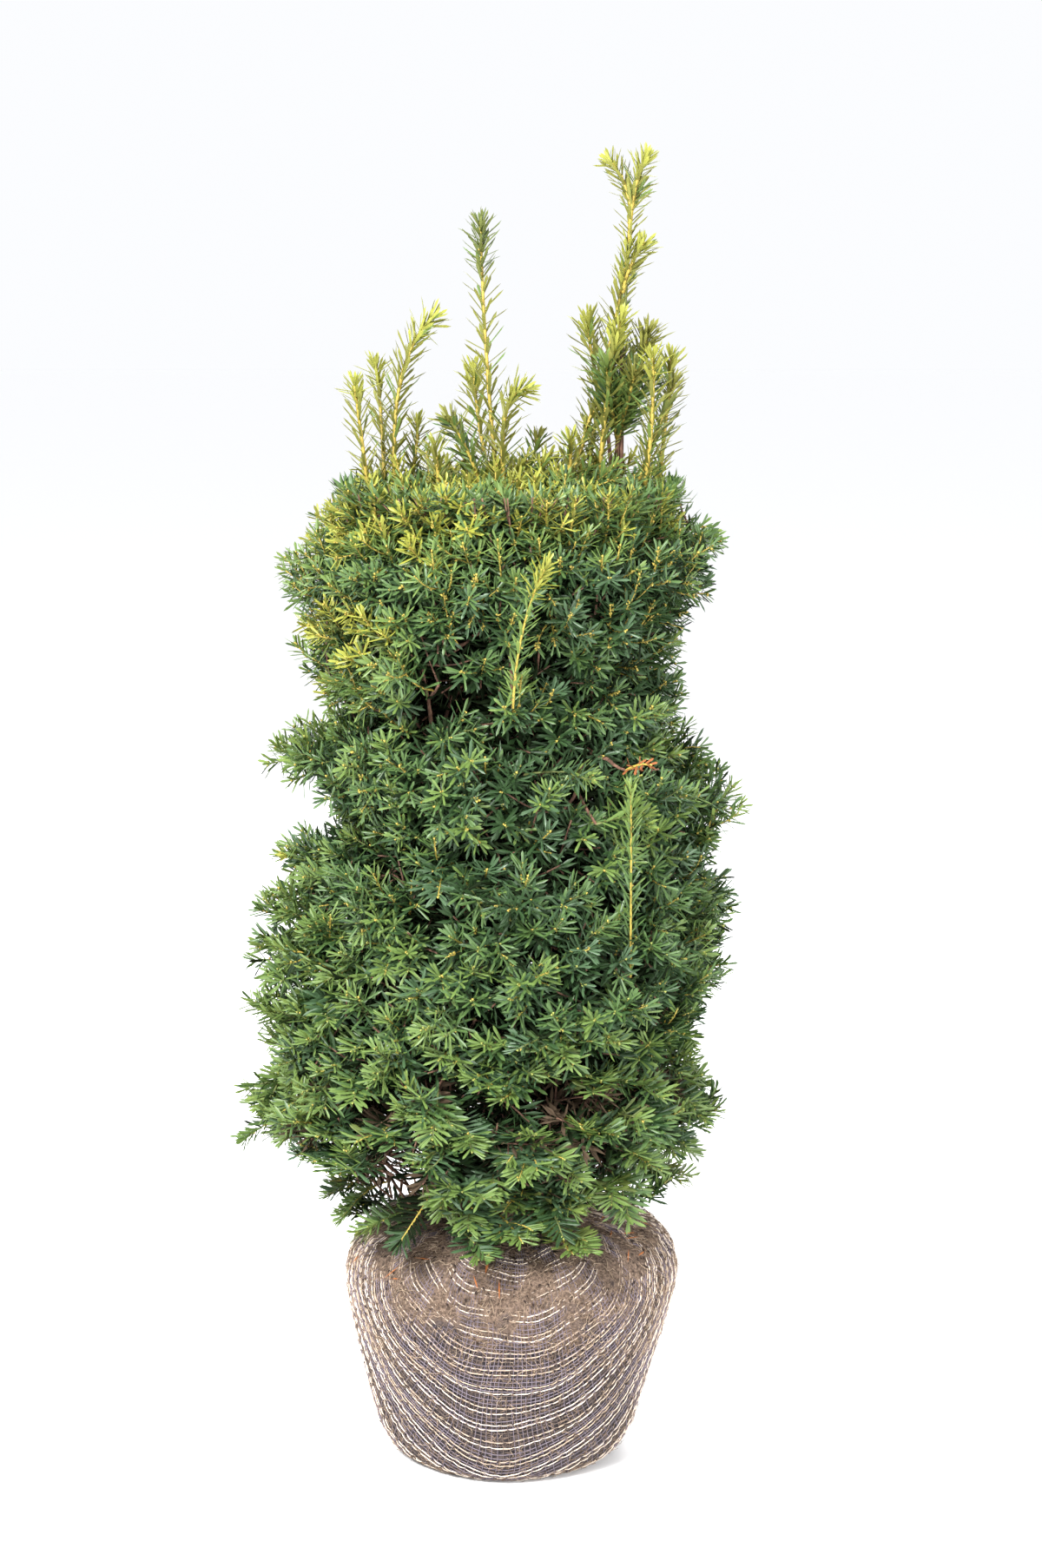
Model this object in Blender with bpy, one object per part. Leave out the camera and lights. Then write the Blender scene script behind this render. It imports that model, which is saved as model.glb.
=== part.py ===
"""A young yew shrub, dug for sale, with its root ball wrapped in jute net.

Metres, +Z up, front towards -Y.  The origin is the middle of the ball's flat underside.
The main stem rises from the ball, four leaders fork from it low down, and a dense narrow
crown of needle sprays stands round them in five tiers, with loose upright shoots on top.
"""

import math
import random

import bmesh
import bpy
from mathutils import Matrix, Vector

# ---- driving dimensions -------------------------------------------------------------

GAP = 0.0003  # between pieces that touch
WALL = 0.0006  # from any needle to the edge of its mass's space

# root ball: (height, radius) from the underside up, and how it leans and bulges
BALL_PROFILE = (
    (0.000, 0.0867),
    (0.010, 0.0992),
    (0.030, 0.1107),
    (0.055, 0.1177),
    (0.085, 0.1262),
    (0.115, 0.1342),
    (0.142, 0.1402),
    (0.165, 0.1432),
    (0.185, 0.1382),
    (0.200, 0.1267),
    (0.211, 0.1022),
    (0.217, 0.0632),
    (0.218, 0.0367),
)
BALL_SIDES = 32
BALL_LEAN = 0.030
BALL_OFFSET = -0.0045
BALL_TOP = BALL_PROFILE[-1][0]

# main stem
TRUNK_FOOT = BALL_TOP + GAP
TRUNK_TIP = Vector((-0.012, 0.002, 0.804))
TRUNK_RADIUS = 0.0130
TRUNK_TIP_RADIUS = 0.0042
ROOT_FLARE = 0.0065
FLARE_HEIGHT = 0.011
TRUNK_SWAY = 0.0045

# leaders: azimuth, height of the fork, tip, radius at the foot and at the tip
LEADER_SPREAD = 0.060
LEADERS = {
    "left_leader": (180, 0.292, Vector((-0.072, 0.002, 0.812)), 0.0082, 0.0036),
    "right_leader": (0, 0.306, Vector((0.072, -0.002, 0.813)), 0.0088, 0.0042),
    "front_leader": (270, 0.322, Vector((0.004, -0.068, 0.810)), 0.0074, 0.0034),
    "back_leader": (90, 0.300, Vector((-0.004, 0.068, 0.810)), 0.0078, 0.0034),
}

# low boughs, one to each mass of the skirt
BOUGH_REACH = 0.073
BOUGH_RISE = 0.030
BOUGH_HEIGHT = 0.240
BOUGH_RADIUS = 0.0056
BOUGH_TIP_RADIUS = 0.0032

# crown: (height, reach to the left, reach to the right)
CROWN_REACH = (
    (0.205, 0.152, 0.130),
    (0.250, 0.160, 0.155),
    (0.264, 0.162, 0.156),
    (0.280, 0.206, 0.154),
    (0.300, 0.222, 0.168),
    (0.320, 0.220, 0.178),
    (0.345, 0.216, 0.178),
    (0.377, 0.220, 0.166),
    (0.410, 0.212, 0.184),
    (0.440, 0.204, 0.198),
    (0.474, 0.194, 0.196),
    (0.490, 0.202, 0.192),
    (0.520, 0.202, 0.188),
    (0.552, 0.168, 0.184),
    (0.572, 0.158, 0.186),
    (0.600, 0.176, 0.182),
    (0.620, 0.192, 0.172),
    (0.636, 0.178, 0.146),
    (0.662, 0.156, 0.156),
    (0.690, 0.178, 0.154),
    (0.712, 0.192, 0.148),
    (0.740, 0.184, 0.162),
    (0.770, 0.184, 0.180),
    (0.795, 0.182, 0.178),
    (0.810, 0.180, 0.168),
    (0.824, 0.172, 0.140),
    (0.840, 0.146, 0.138),
    (0.875, 0.130, 0.136),
)
CROWN_FOOT = 0.2215  # lowest leaf over the ball
CROWN_TOP = 0.872  # at the axis; the top falls away towards the shoulders
CROWN_FALL = 1.3
CORE_SINK = 0.046  # the dense core lies this far under the needle tips
TOP_CORE_SINK = 0.022  # and less far on the top, where the needles stand close
CORE_INNER = 0.080  # and this far out from the axis
CORE_BURR = 0.015  # the core's own face is a burr of points this high
BURR_CLEAR = 0.018  # except this near a spray
CROWN_LIMB_ROOM = 0.0775  # the limbs stand inside this radius
LIMB_TOPS = 0.8165  # and under this height

# five tiers of five masses; every second tier is turned by half a mass
TIERS = (("skirt", 0.280), ("low", 0.400), ("middle", 0.520), ("upper", 0.640), ("shoulder", 0.752))
SIDES_PER_TIER = 5
FIRST_SIDES = ("front", "right", "back_right", "back_left", "left")
SECOND_SIDES = ("front_right", "right", "back", "left", "front_left")
CELL_RADIUS = 0.116

# top masses: middle of the space, middle of the core, and the limb that each one ends
TOPS = {
    "left_top": (Vector((-0.102, 0.002, 0.872)), Vector((-0.092, 0.000, 0.829)), "left_leader"),
    "middle_top": (Vector((-0.008, 0.000, 0.872)), Vector((-0.010, 0.000, 0.832)), "trunk"),
    "right_top": (Vector((0.092, 0.000, 0.878)), Vector((0.088, 0.000, 0.829)), "right_leader"),
    "front_top": (Vector((0.000, -0.098, 0.862)), Vector((0.002, -0.092, 0.828)), "front_leader"),
    "back_top": (Vector((0.000, 0.098, 0.862)), Vector((-0.002, 0.092, 0.828)), "back_leader"),
}

# sprays on the crown's face
SIDE_SPRAYS = 90
TOP_SPRAYS = 14
SPRAY_LENGTH = 0.064
TOP_SPRAY_LENGTH = 0.042
SPRAY_TWIG = 0.0033
NEEDLE = 0.046
WHORLS = 3
BARE_TWIG = 0.28  # share of a spray's twig, from its root in the core, that has no needles
NEEDLE_CLEAR = 0.009  # a needle that would end this near another twig is left out
GOLDEN_ANGLE = math.radians(137.508)

# free shoots: base, bend and tip as (x, z), how far to the front, and needle length
FREE_SHOOTS = {
    "left_top": (
        ((-0.114, 0.852), (-0.122, 0.890), (-0.128, 0.928), 0.012, 0.021),
        ((-0.104, 0.850), (-0.108, 0.905), (-0.112, 0.945), -0.012, 0.021),
        ((-0.096, 0.852), (-0.100, 0.945), (-0.062, 0.988), 0.000, 0.025),
        ((-0.082, 0.850), (-0.078, 0.870), (-0.078, 0.898), -0.016, 0.016),
    ),
    "middle_top": (
        ((-0.012, 0.850), (-0.022, 0.960), (-0.024, 1.067), 0.000, 0.021),
        ((-0.020, 0.846), (-0.030, 0.880), (-0.040, 0.900), 0.014, 0.020),
        ((-0.016, 0.850), (-0.030, 0.900), (-0.030, 0.938), -0.016, 0.021),
        ((-0.004, 0.850), (-0.006, 0.905), (0.012, 0.922), 0.004, 0.022),
        ((0.006, 0.848), (0.020, 0.860), (0.024, 0.880), -0.010, 0.014),
    ),
    "right_top": (
        ((0.056, 0.862), (0.092, 0.990), (0.111, 1.120), 0.000, 0.023),
        ((0.100, 1.076), (0.094, 1.094), (0.082, 1.118), 0.000, 0.016),
        ((0.094, 1.014), (0.098, 1.028), (0.114, 1.046), 0.000, 0.015),
        ((0.090, 0.900), (0.082, 0.940), (0.066, 0.985), 0.006, 0.024),
        ((0.091, 0.898), (0.100, 0.935), (0.116, 0.974), -0.008, 0.026),
        ((0.091, 0.896), (0.094, 0.922), (0.096, 0.950), 0.016, 0.026),
        ((0.112, 0.862), (0.128, 0.905), (0.137, 0.954), 0.004, 0.021),
        ((0.098, 0.856), (0.110, 0.890), (0.116, 0.930), -0.022, 0.016),
    ),
    "shoulder_front": (((0.000, 0.690), (0.006, 0.755), (0.032, 0.790), 0.182, 0.018),),
    "skirt_left": (((-0.150, 0.318), (-0.185, 0.316), (-0.224, 0.286), 0.022, 0.018),),
}
FREE_WHORL_STEP = 0.0135
FREE_TWIG = 0.0022
RIGHT_FAN = Vector((0.090, 0.000, 0.900))  # bare wood up to here, then the shoots fan out

BARK = (0.130, 0.062, 0.034)
JUTE = (0.160, 0.120, 0.085)
LEAF_LOW = (0.020, 0.062, 0.034)
LEAF_HIGH = (0.130, 0.210, 0.030)

# ---- helpers ------------------------------------------------------------------------


def clear_scene():
    """Start from nothing."""
    for item in list(bpy.data.objects):
        bpy.data.objects.remove(item, do_unlink=True)


def material(name, colour, roughness):
    """A plain Principled finish."""
    made = bpy.data.materials.new(name)
    made.use_nodes = True
    shader = made.node_tree.nodes["Principled BSDF"]
    shader.inputs["Base Color"].default_value = (*colour, 1.0)
    shader.inputs["Roughness"].default_value = roughness
    shader.inputs["Metallic"].default_value = 0.0
    return made


def object_from_bmesh(name, bm):
    """Put a finished bmesh in an object of its own."""
    mesh = bpy.data.meshes.new(name)
    bm.to_mesh(mesh)
    bm.free()
    made = bpy.data.objects.new(name, mesh)
    bpy.context.scene.collection.objects.link(made)
    return made


def interpolate(table, height, column):
    """Read one column of a table of heights, straight between its rows."""
    if height <= table[0][0]:
        return table[0][column]
    for low, high in zip(table, table[1:]):
        if height <= high[0]:
            share = (height - low[0]) / (high[0] - low[0])
            return low[column] + (high[column] - low[column]) * share
    return table[-1][column]


def around(azimuth, radius, height):
    """The point at an azimuth in degrees, a radius and a height."""
    turn = math.radians(azimuth)
    return Vector((radius * math.cos(turn), radius * math.sin(turn), height))


def cut_away(target, tool):
    """Cut one shape away from a piece."""
    step = target.modifiers.new("cut", "BOOLEAN")
    step.operation = "DIFFERENCE"
    step.solver = "EXACT"
    step.object = tool
    bpy.context.view_layer.objects.active = target
    bpy.ops.object.modifier_apply(modifier=step.name)
    bpy.data.objects.remove(tool, do_unlink=True)


def is_closed(mesh):
    """Whether every edge has a face on each side."""
    bm = bmesh.new()
    bm.from_mesh(mesh)
    closed = all(len(edge.link_faces) == 2 for edge in bm.edges)
    bm.free()
    return closed


def join_collection(target, group):
    """Join a collection to a piece: by the exact solver, or by MANIFOLD where that leaves it open."""
    untouched = target.data.copy()
    for solver in ("EXACT", "MANIFOLD"):
        step = target.modifiers.new("join", "BOOLEAN")
        step.operation = "UNION"
        step.solver = solver
        step.operand_type = "COLLECTION"
        step.collection = group
        step.use_self = True
        bpy.context.view_layer.objects.active = target
        bpy.ops.object.modifier_apply(modifier=step.name)
        if is_closed(target.data):
            break
        target.data = untouched
    for part in list(group.objects):
        bpy.data.objects.remove(part, do_unlink=True)
    bpy.data.collections.remove(group)


def keep_one_body(target):
    """Keep the largest connected body: scraps and sealed hollows go."""
    bm = bmesh.new()
    bm.from_mesh(target.data)
    left = set(bm.verts)
    bodies = []
    while left:
        start = left.pop()
        body = {start}
        front = [start]
        while front:
            for edge in front.pop().link_edges:
                for vert in edge.verts:
                    if vert in left:
                        left.remove(vert)
                        body.add(vert)
                        front.append(vert)
        bodies.append(body)
    bodies.sort(key=len, reverse=True)
    loose = [vert for body in bodies[1:] for vert in body]
    bmesh.ops.delete(bm, geom=loose, context="VERTS")
    bmesh.ops.triangulate(bm, faces=bm.faces)
    bm.to_mesh(target.data)
    bm.free()


def finish(target, finish_material, foot, plant):
    """Give a piece its finish, its origin at its foot, and its place under the plant."""
    target.data.materials.clear()
    target.data.materials.append(finish_material)
    target.data.transform(Matrix.Translation(-foot))
    target.location = foot
    target.parent = plant


# ---- root ball ----------------------------------------------------------------------


def ball_centre(height):
    """The ball leans a little to the right as it rises."""
    return BALL_OFFSET + BALL_LEAN * height


def make_root_ball():
    """Turn the profile, close it top and bottom, and give it the slight lobes of a tied ball."""
    bm = bmesh.new()
    profile = [(0.0, 0.0)] + [(radius, height) for height, radius in BALL_PROFILE] + [(0.0, BALL_TOP)]
    verts = [bm.verts.new((radius, 0.0, height)) for radius, height in profile]
    edges = [bm.edges.new(pair) for pair in zip(verts, verts[1:])]
    bmesh.ops.spin(
        bm,
        geom=verts + edges,
        cent=(0, 0, 0),
        axis=(0, 0, 1),
        angle=math.tau,
        steps=BALL_SIDES,
        use_merge=True,
    )
    bmesh.ops.remove_doubles(bm, verts=bm.verts, dist=0.0001)
    for vert in bm.verts:
        height = vert.co.z
        turn = math.atan2(vert.co.y, vert.co.x)
        lobe = 1.0 + 0.016 * math.cos(2 * turn + 0.7) + 0.010 * math.cos(5 * turn + 1.9 + 22 * height)
        vert.co.x = vert.co.x * lobe + ball_centre(height)
        vert.co.y = vert.co.y * lobe
    bmesh.ops.recalc_face_normals(bm, faces=bm.faces)
    made = object_from_bmesh("root_ball", bm)
    made.data.shade_smooth()
    made.data.set_sharp_from_angle(angle=math.radians(50))
    return made


# ---- limbs --------------------------------------------------------------------------


def trunk_axis(height):
    """The stem leans left to its tip, with one slow sway."""
    share = (height - TRUNK_FOOT) / (TRUNK_TIP.z - TRUNK_FOOT)
    sway = TRUNK_SWAY * (1 - math.cos(math.tau * share)) / 2
    return Vector((TRUNK_TIP.x * share**2 + sway, TRUNK_TIP.y * share**2 - 0.6 * sway, height))


def trunk_radius(height):
    """Taper from the root flare to the tip."""
    share = (height - TRUNK_FOOT) / (TRUNK_TIP.z - TRUNK_FOOT)
    wood = TRUNK_TIP_RADIUS + (TRUNK_RADIUS - TRUNK_TIP_RADIUS) * (1 - share) ** 0.85
    return wood + ROOT_FLARE * math.exp(-(height - TRUNK_FOOT) / FLARE_HEIGHT)


def trunk_line():
    """Points and radii up the stem, close together over the flare."""
    rises = [0.0, 0.005, 0.012, 0.022, 0.040, 0.070]
    rises += [0.070 + (TRUNK_TIP.z - TRUNK_FOOT - 0.070) * step / 9 for step in range(1, 10)]
    heights = [TRUNK_FOOT + rise for rise in rises]
    return [(trunk_axis(height), trunk_radius(height)) for height in heights]


def leader_line(name):
    """Out from the stem at the fork, then up beside it to the tip."""
    azimuth, fork, tip, foot_radius, tip_radius = LEADERS[name]
    start = trunk_axis(fork)
    spread_point = around(azimuth, LEADER_SPREAD, 0.0)
    line = []
    steps = 9
    for step in range(steps + 1):
        share = (step / steps) ** 1.3
        height = fork + (tip.z - fork) * share
        spread = 1 - (1 - min(1.0, 2.9 * share)) ** 2
        flat = start.lerp(spread_point, spread)
        flat = flat.lerp(tip, max(0.0, share - 0.4) / 0.6)
        radius = tip_radius + (foot_radius - tip_radius) * (1 - share) ** 0.9
        line.append((Vector((flat.x, flat.y, height)), radius))
    return line


def bough_azimuth(index):
    """The skirt's masses and their boughs stand at these azimuths."""
    return 270 + index * 360 / SIDES_PER_TIER


def bough_line(index):
    """A short arching limb from low on the stem to the edge of its mass."""
    height = BOUGH_HEIGHT + 0.005 * ((index * 2) % SIDES_PER_TIER)
    start = trunk_axis(height)
    end = around(bough_azimuth(index), BOUGH_REACH, height + BOUGH_RISE)
    line = []
    steps = 5
    for step in range(steps + 1):
        share = step / steps
        point = start.lerp(end, share)
        point.z = height + BOUGH_RISE * math.sin(math.pi / 2 * share)
        line.append((point, BOUGH_RADIUS + (BOUGH_TIP_RADIUS - BOUGH_RADIUS) * share))
    return line


def make_limb(name, line, detail, clearance=0.0):
    """A tapering limb: a curve with a round bevel and flat ends, turned into a mesh."""
    curve = bpy.data.curves.new(name, "CURVE")
    curve.dimensions = "3D"
    curve.bevel_depth = 1.0
    curve.bevel_resolution = detail
    curve.use_fill_caps = True
    spline = curve.splines.new("POLY")
    spline.points.add(len(line) - 1)
    for point, (place, radius) in zip(spline.points, line):
        point.co = (*place, 1.0)
        point.radius = radius + clearance
    guide = bpy.data.objects.new(name + "_line", curve)
    bpy.context.scene.collection.objects.link(guide)
    bpy.context.view_layer.update()
    mesh = bpy.data.meshes.new_from_object(guide)
    bpy.data.objects.remove(guide, do_unlink=True)
    made = bpy.data.objects.new(name, mesh)
    bpy.context.scene.collection.objects.link(made)
    bm = bmesh.new()
    bm.from_mesh(mesh)
    bmesh.ops.remove_doubles(bm, verts=bm.verts, dist=0.00001)
    bmesh.ops.recalc_face_normals(bm, faces=bm.faces)
    bm.to_mesh(mesh)
    bm.free()
    return made


def limb_lines():
    """Every limb's points and radii by name."""
    lines = {"trunk": trunk_line()}
    for name in LEADERS:
        lines[name] = leader_line(name)
    for index, side in enumerate(FIRST_SIDES):
        lines[side + "_low_bough"] = bough_line(index)
    return lines


def line_at_height(line, height):
    """The point and radius of a limb at a height."""
    for (low, low_radius), (high, high_radius) in zip(line, line[1:]):
        if height <= high.z:
            share = (height - low.z) / (high.z - low.z)
            return low.lerp(high, share), low_radius + (high_radius - low_radius) * share
    return line[-1]


# ---- crown --------------------------------------------------------------------------


def crown_reach(point):
    """How far the crown reaches from the axis on this point's side and at its height."""
    turn = math.atan2(point.y, point.x)
    left = interpolate(CROWN_REACH, point.z, 1)
    right = interpolate(CROWN_REACH, point.z, 2)
    even = (left + right) / 2 + (right - left) / 2 * math.cos(turn)
    lobe = 0.030 * math.sin(turn) ** 2 * math.sin(3 * turn + 11 * point.z)
    return even * (1 + lobe)


def depth_in_crown(point):
    """How far a point lies under the crown's outline: less than nothing if it is outside."""
    radius = math.hypot(point.x, point.y)
    side = crown_reach(point) - radius
    top = CROWN_TOP - CROWN_FALL * radius**2 - point.z
    foot = point.z - (CROWN_FOOT if radius < 0.150 else CROWN_FOOT - 0.013)
    return min(side, top, foot)


def mass_spaces():
    """Name, middle of the space and middle of the core of every mass."""
    spaces = {}
    for tier, (tier_name, height) in enumerate(TIERS):
        sides = FIRST_SIDES if tier % 2 == 0 else SECOND_SIDES
        for index, side in enumerate(sides):
            azimuth = 270 + (index + 0.5 * (tier % 2)) * 360 / SIDES_PER_TIER
            middle = around(azimuth, CELL_RADIUS, height)
            outer = crown_reach(middle) - CORE_SINK
            hub = around(azimuth, (CORE_INNER + 0.004 + outer) / 2, height)
            spaces[f"{tier_name}_{side}"] = (middle, hub)
    for name, (middle, hub, limb) in TOPS.items():
        spaces[name] = (middle, hub)
    return spaces


SPACES = mass_spaces()


def room(point, name):
    """Distance from a point inside a mass's space to the nearest wall between two masses."""
    middle = SPACES[name][0]
    nearest = 1.0
    for other, (other_middle, hub) in SPACES.items():
        if other != name:
            across = (point - other_middle).length_squared - (point - middle).length_squared
            nearest = min(nearest, across / (2 * (other_middle - middle).length))
    return nearest


def owner(point):
    """The mass whose space holds a point."""
    return min(SPACES, key=lambda name: (point - SPACES[name][0]).length)


def clear_of_limbs(point, name):
    """Side masses stay outside the limbs' room; top masses start above the limbs' tips."""
    if name in TOPS:
        return point.z > LIMB_TOPS
    return math.hypot(point.x, point.y) > CROWN_LIMB_ROOM


def core_reach(name, direction, sink):
    """How far the core goes from its middle before it meets a wall, a limb or the needles."""
    middle, hub = SPACES[name]
    inward = Vector((-middle.x, -middle.y, 0.0)).normalized()
    reach = 0.004
    while reach < 0.120:
        point = hub + direction * reach
        if room(point, name) < 0.0025 or depth_in_crown(point) < sink - 0.010 * direction.z:
            break
        if name not in TOPS and -point.dot(inward) < CORE_INNER:
            break
        if point.z < CROWN_FOOT + 0.012 or not clear_of_limbs(point, name):
            break
        reach += 0.001
    return reach


def near_line(point, line, limit):
    """Whether a point lies within a limit of a bent line."""
    for a, b in zip(line, line[1:]):
        along_line = b - a
        share = max(0.0, min(1.0, (point - a).dot(along_line) / along_line.length_squared))
        if (a + along_line * share - point).length < limit:
            return True
    return False


def make_core(name, twigs):
    """The dense heart of a mass: a ball pushed out to its walls, its outer face a burr of points."""
    middle, hub = SPACES[name]
    outward = Vector((middle.x, middle.y, 0.0)).normalized() if name not in TOPS else Vector((0, 0, 1))
    side = Vector((-outward.y, outward.x, 0.0)) if name not in TOPS else Vector((0, 1, 0))
    sink = TOP_CORE_SINK if name in TOPS else CORE_SINK
    bm = bmesh.new()
    bmesh.ops.create_icosphere(bm, subdivisions=2, radius=1.0)
    for vert in bm.verts:
        direction = (vert.co + side * 0.5 * vert.co.dot(side)).normalized()
        vert.co = hub + direction * core_reach(name, direction, sink)
    bm.normal_update()
    for face in list(bm.faces):
        facing = face.normal.dot(outward)
        centre = face.calc_center_median()
        point = centre + (face.normal + outward * 0.8).normalized() * CORE_BURR
        inside = depth_in_crown(point) > 0.0 and room(point, name) > WALL
        free = not any(near_line(point, twig, BURR_CLEAR) for twig in twigs)
        if facing > 0.1 and inside and free and clear_of_limbs(point, name):
            burr = bmesh.ops.poke(bm, faces=[face])
            burr["verts"][0].co = point
    return object_from_bmesh(name + "_core", bm)


# ---- sprays -------------------------------------------------------------------------


def along(points, share):
    """A point part of the way along a bent line."""
    lengths = [(b - a).length for a, b in zip(points, points[1:])]
    distance = share * sum(lengths)
    for a, b, length in zip(points, points[1:], lengths):
        if distance <= length:
            return a.lerp(b, distance / length)
        distance -= length
    return points[-1].copy()


def bend_line(base, bend, tip, count):
    """Points on a smooth bend from base to tip."""
    return [
        base * (1 - t) ** 2 + bend * 2 * t * (1 - t) + tip * t**2
        for t in [step / count for step in range(count + 1)]
    ]


def make_spray(name, stations, roll, fits):
    """A slim six-sided twig whose corners rise by turns into needles.

    A station is a point, the twig's radius there and the length of its needles.  The last
    station is the twig's pointed end.
    """
    bm = bmesh.new()
    rings = []
    across = None
    for index, (point, radius, needle) in enumerate(stations[:-1]):
        ahead = (stations[index + 1][0] - stations[max(0, index - 1)][0]).normalized()
        if across is None:
            across = ahead.orthogonal().normalized()
            across.rotate(Matrix.Rotation(roll, 3, ahead))
        across = (across - ahead * across.dot(ahead)).normalized()
        sweep = math.radians(28 + 34 * (index / len(stations)))
        ring = []
        for corner in range(6):
            out = across.copy()
            out.rotate(Matrix.Rotation(math.tau * corner / 6, 3, ahead))
            place = point + out * radius
            if needle > 0 and (corner + index) % 2 == 0:
                tip = point + out * needle * math.cos(sweep) + ahead * needle * math.sin(sweep)
                if fits(tip):
                    place = tip
            ring.append(bm.verts.new(place))
        rings.append(ring)
    for index, (ring, upper) in enumerate(zip(rings, rings[1:])):
        for corner in range(6):
            a, b = ring[corner], ring[(corner + 1) % 6]
            c, d = upper[(corner + 1) % 6], upper[corner]
            if (corner + index) % 2 == 0:
                bm.faces.new((a, b, d))
                bm.faces.new((b, c, d))
            else:
                bm.faces.new((a, b, c))
                bm.faces.new((a, c, d))
    end = bm.verts.new(stations[-1][0])
    for corner in range(6):
        bm.faces.new((rings[-1][corner], rings[-1][(corner + 1) % 6], end))
    bm.faces.new(list(reversed(rings[0])))
    bmesh.ops.recalc_face_normals(bm, faces=bm.faces)
    return object_from_bmesh(name, bm)


def spray_heading(tip):
    """Sprays droop a little at the foot of the crown and stand up towards its top."""
    turn = math.atan2(tip.y, tip.x)
    table = ((0.22, -26.0), (0.26, -18.0), (0.32, -4.0), (0.50, 14.0), (0.70, 30.0), (0.80, 46.0), (0.86, 70.0))
    rise = math.radians(interpolate(table, tip.z, 1))
    return Vector((math.cos(turn) * math.cos(rise), math.sin(turn) * math.cos(rise), math.sin(rise)))


def spray_tips(dice):
    """Tips spread evenly over the crown's sides and top by the golden angle."""
    tips = []
    low, high = 0.223, 0.846
    for index in range(SIDE_SPRAYS):
        share = (index + 0.5) / SIDE_SPRAYS
        height = low + (high - low) * share + dice.uniform(-0.006, 0.006)
        azimuth = math.degrees(GOLDEN_ANGLE) * index + dice.uniform(-7, 7)
        reach = crown_reach(around(azimuth, 0.1, height))
        tips.append(around(azimuth, reach + 0.007 - dice.uniform(0.0, 0.008), height))
    for index in range(TOP_SPRAYS):
        radius = 0.128 * math.sqrt((index + 0.6) / TOP_SPRAYS)
        azimuth = math.degrees(GOLDEN_ANGLE) * index + 20
        tips.append(around(azimuth, radius, CROWN_TOP - CROWN_FALL * radius**2 - dice.uniform(0.0, 0.008)))
    return tips


def settle_tip(tip, mass):
    """Move a tip over the crown's face towards the middle of its mass until its spray fits."""
    middle = SPACES[mass][0]
    length = TOP_SPRAY_LENGTH if mass in TOPS else SPRAY_LENGTH
    for step in range(8):
        base = tip - spray_heading(tip) * length
        if min(room(base, mass), room(tip, mass)) > WALL + SPRAY_TWIG + 0.004:
            return tip
        if mass in TOPS:
            target = Vector((middle.x, middle.y, tip.z))
        else:
            target = Vector((middle.x, middle.y, 0.0)).normalized() * math.hypot(tip.x, tip.y)
            target.z = middle.z
        tip = tip.lerp(target, 0.18)
    return None


def spray_twig(mass, tip, dice):
    """The twig of a spray on the crown's face, from its root in the core to its tip."""
    hub = SPACES[mass][1]
    tip = settle_tip(tip, mass)
    if tip is None:
        return None
    heading = spray_heading(tip)
    heading = (heading + Vector([dice.uniform(-0.12, 0.12) for axis in range(3)])).normalized()
    base = tip - heading * (TOP_SPRAY_LENGTH if mass in TOPS else SPRAY_LENGTH)
    return hub.lerp(base, 0.45), base, tip


def make_side_spray(name, mass, twig, others, dice):
    """One spray: its needles stand in whorls on the outer part of the twig."""
    root, base, tip = twig
    stations = [(root, SPRAY_TWIG, 0.0), (base.lerp(tip, BARE_TWIG), SPRAY_TWIG, 0.0)]
    for whorl in range(WHORLS):
        share = BARE_TWIG + 0.17 + (0.66 - BARE_TWIG) * whorl / (WHORLS - 1)
        length = NEEDLE * (1.0 - 0.10 * whorl)
        stations.append((base.lerp(tip, share), SPRAY_TWIG * (1 - 0.30 * share), length))
    stations.append((tip, 0.0, 0.0))

    def fits(point):
        inside = depth_in_crown(point) > -0.016 and room(point, mass) > WALL
        crossed = any(near_line(point, other, NEEDLE_CLEAR) for other in others)
        return inside and not crossed and clear_of_limbs(point, mass)

    return make_spray(name, stations, dice.uniform(0, math.tau), fits)


def free_line(shoot):
    """The bent line of a loose shoot."""
    base, bend, tip, front, needle = shoot
    corners = [Vector((base[0], -front, base[1])), Vector((bend[0], -front, bend[1]))]
    corners.append(Vector((tip[0], -front * 1.1, tip[1])))
    return bend_line(*corners, 12)


def make_free_shoot(name, mass, line, needle, others, dice):
    """One loose shoot: a long bent twig, set with needles all the way to its tip."""
    hub = SPACES[mass][1]
    base, tip = line[0], line[-1]
    length = sum((b - a).length for a, b in zip(line, line[1:]))
    whorls = max(3, round(length / FREE_WHORL_STEP))
    in_air = base.z > hub.z + 0.04
    root = base - (line[1] - base).normalized() * 0.012 if in_air else hub.lerp(base, 0.4)
    stations = [(root, FREE_TWIG * 1.3, 0.0)]
    for whorl in range(whorls):
        share = whorl / whorls
        long = needle * (1.0 - 0.25 * share)
        stations.append((along(line, share), FREE_TWIG * (1.2 - 0.55 * share), long if whorl else 0.0))
    stations.append((tip, 0.0, 0.0))

    def fits(point):
        crossed = any(near_line(point, other, NEEDLE_CLEAR) for other in others)
        return room(point, mass) > WALL and not crossed

    return make_spray(name, stations, dice.uniform(0, math.tau), fits)


# ---- masses -------------------------------------------------------------------------


def mass_limb(name, lines):
    """The limb that carries a mass, and the point on its axis where the stem leaves it."""
    middle, hub = SPACES[name]
    if name in TOPS:
        limb = TOPS[name][2]
        return limb, lines[limb][-1][0]
    if name.startswith("skirt"):
        limb = name.replace("skirt_", "") + "_low_bough"
        return limb, lines[limb][-1][0]
    height = hub.z - 0.034
    limb = min(LEADERS, key=lambda leader: (line_at_height(lines[leader], height)[0] - hub).length)
    return limb, line_at_height(lines[limb], height)[0]


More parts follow.
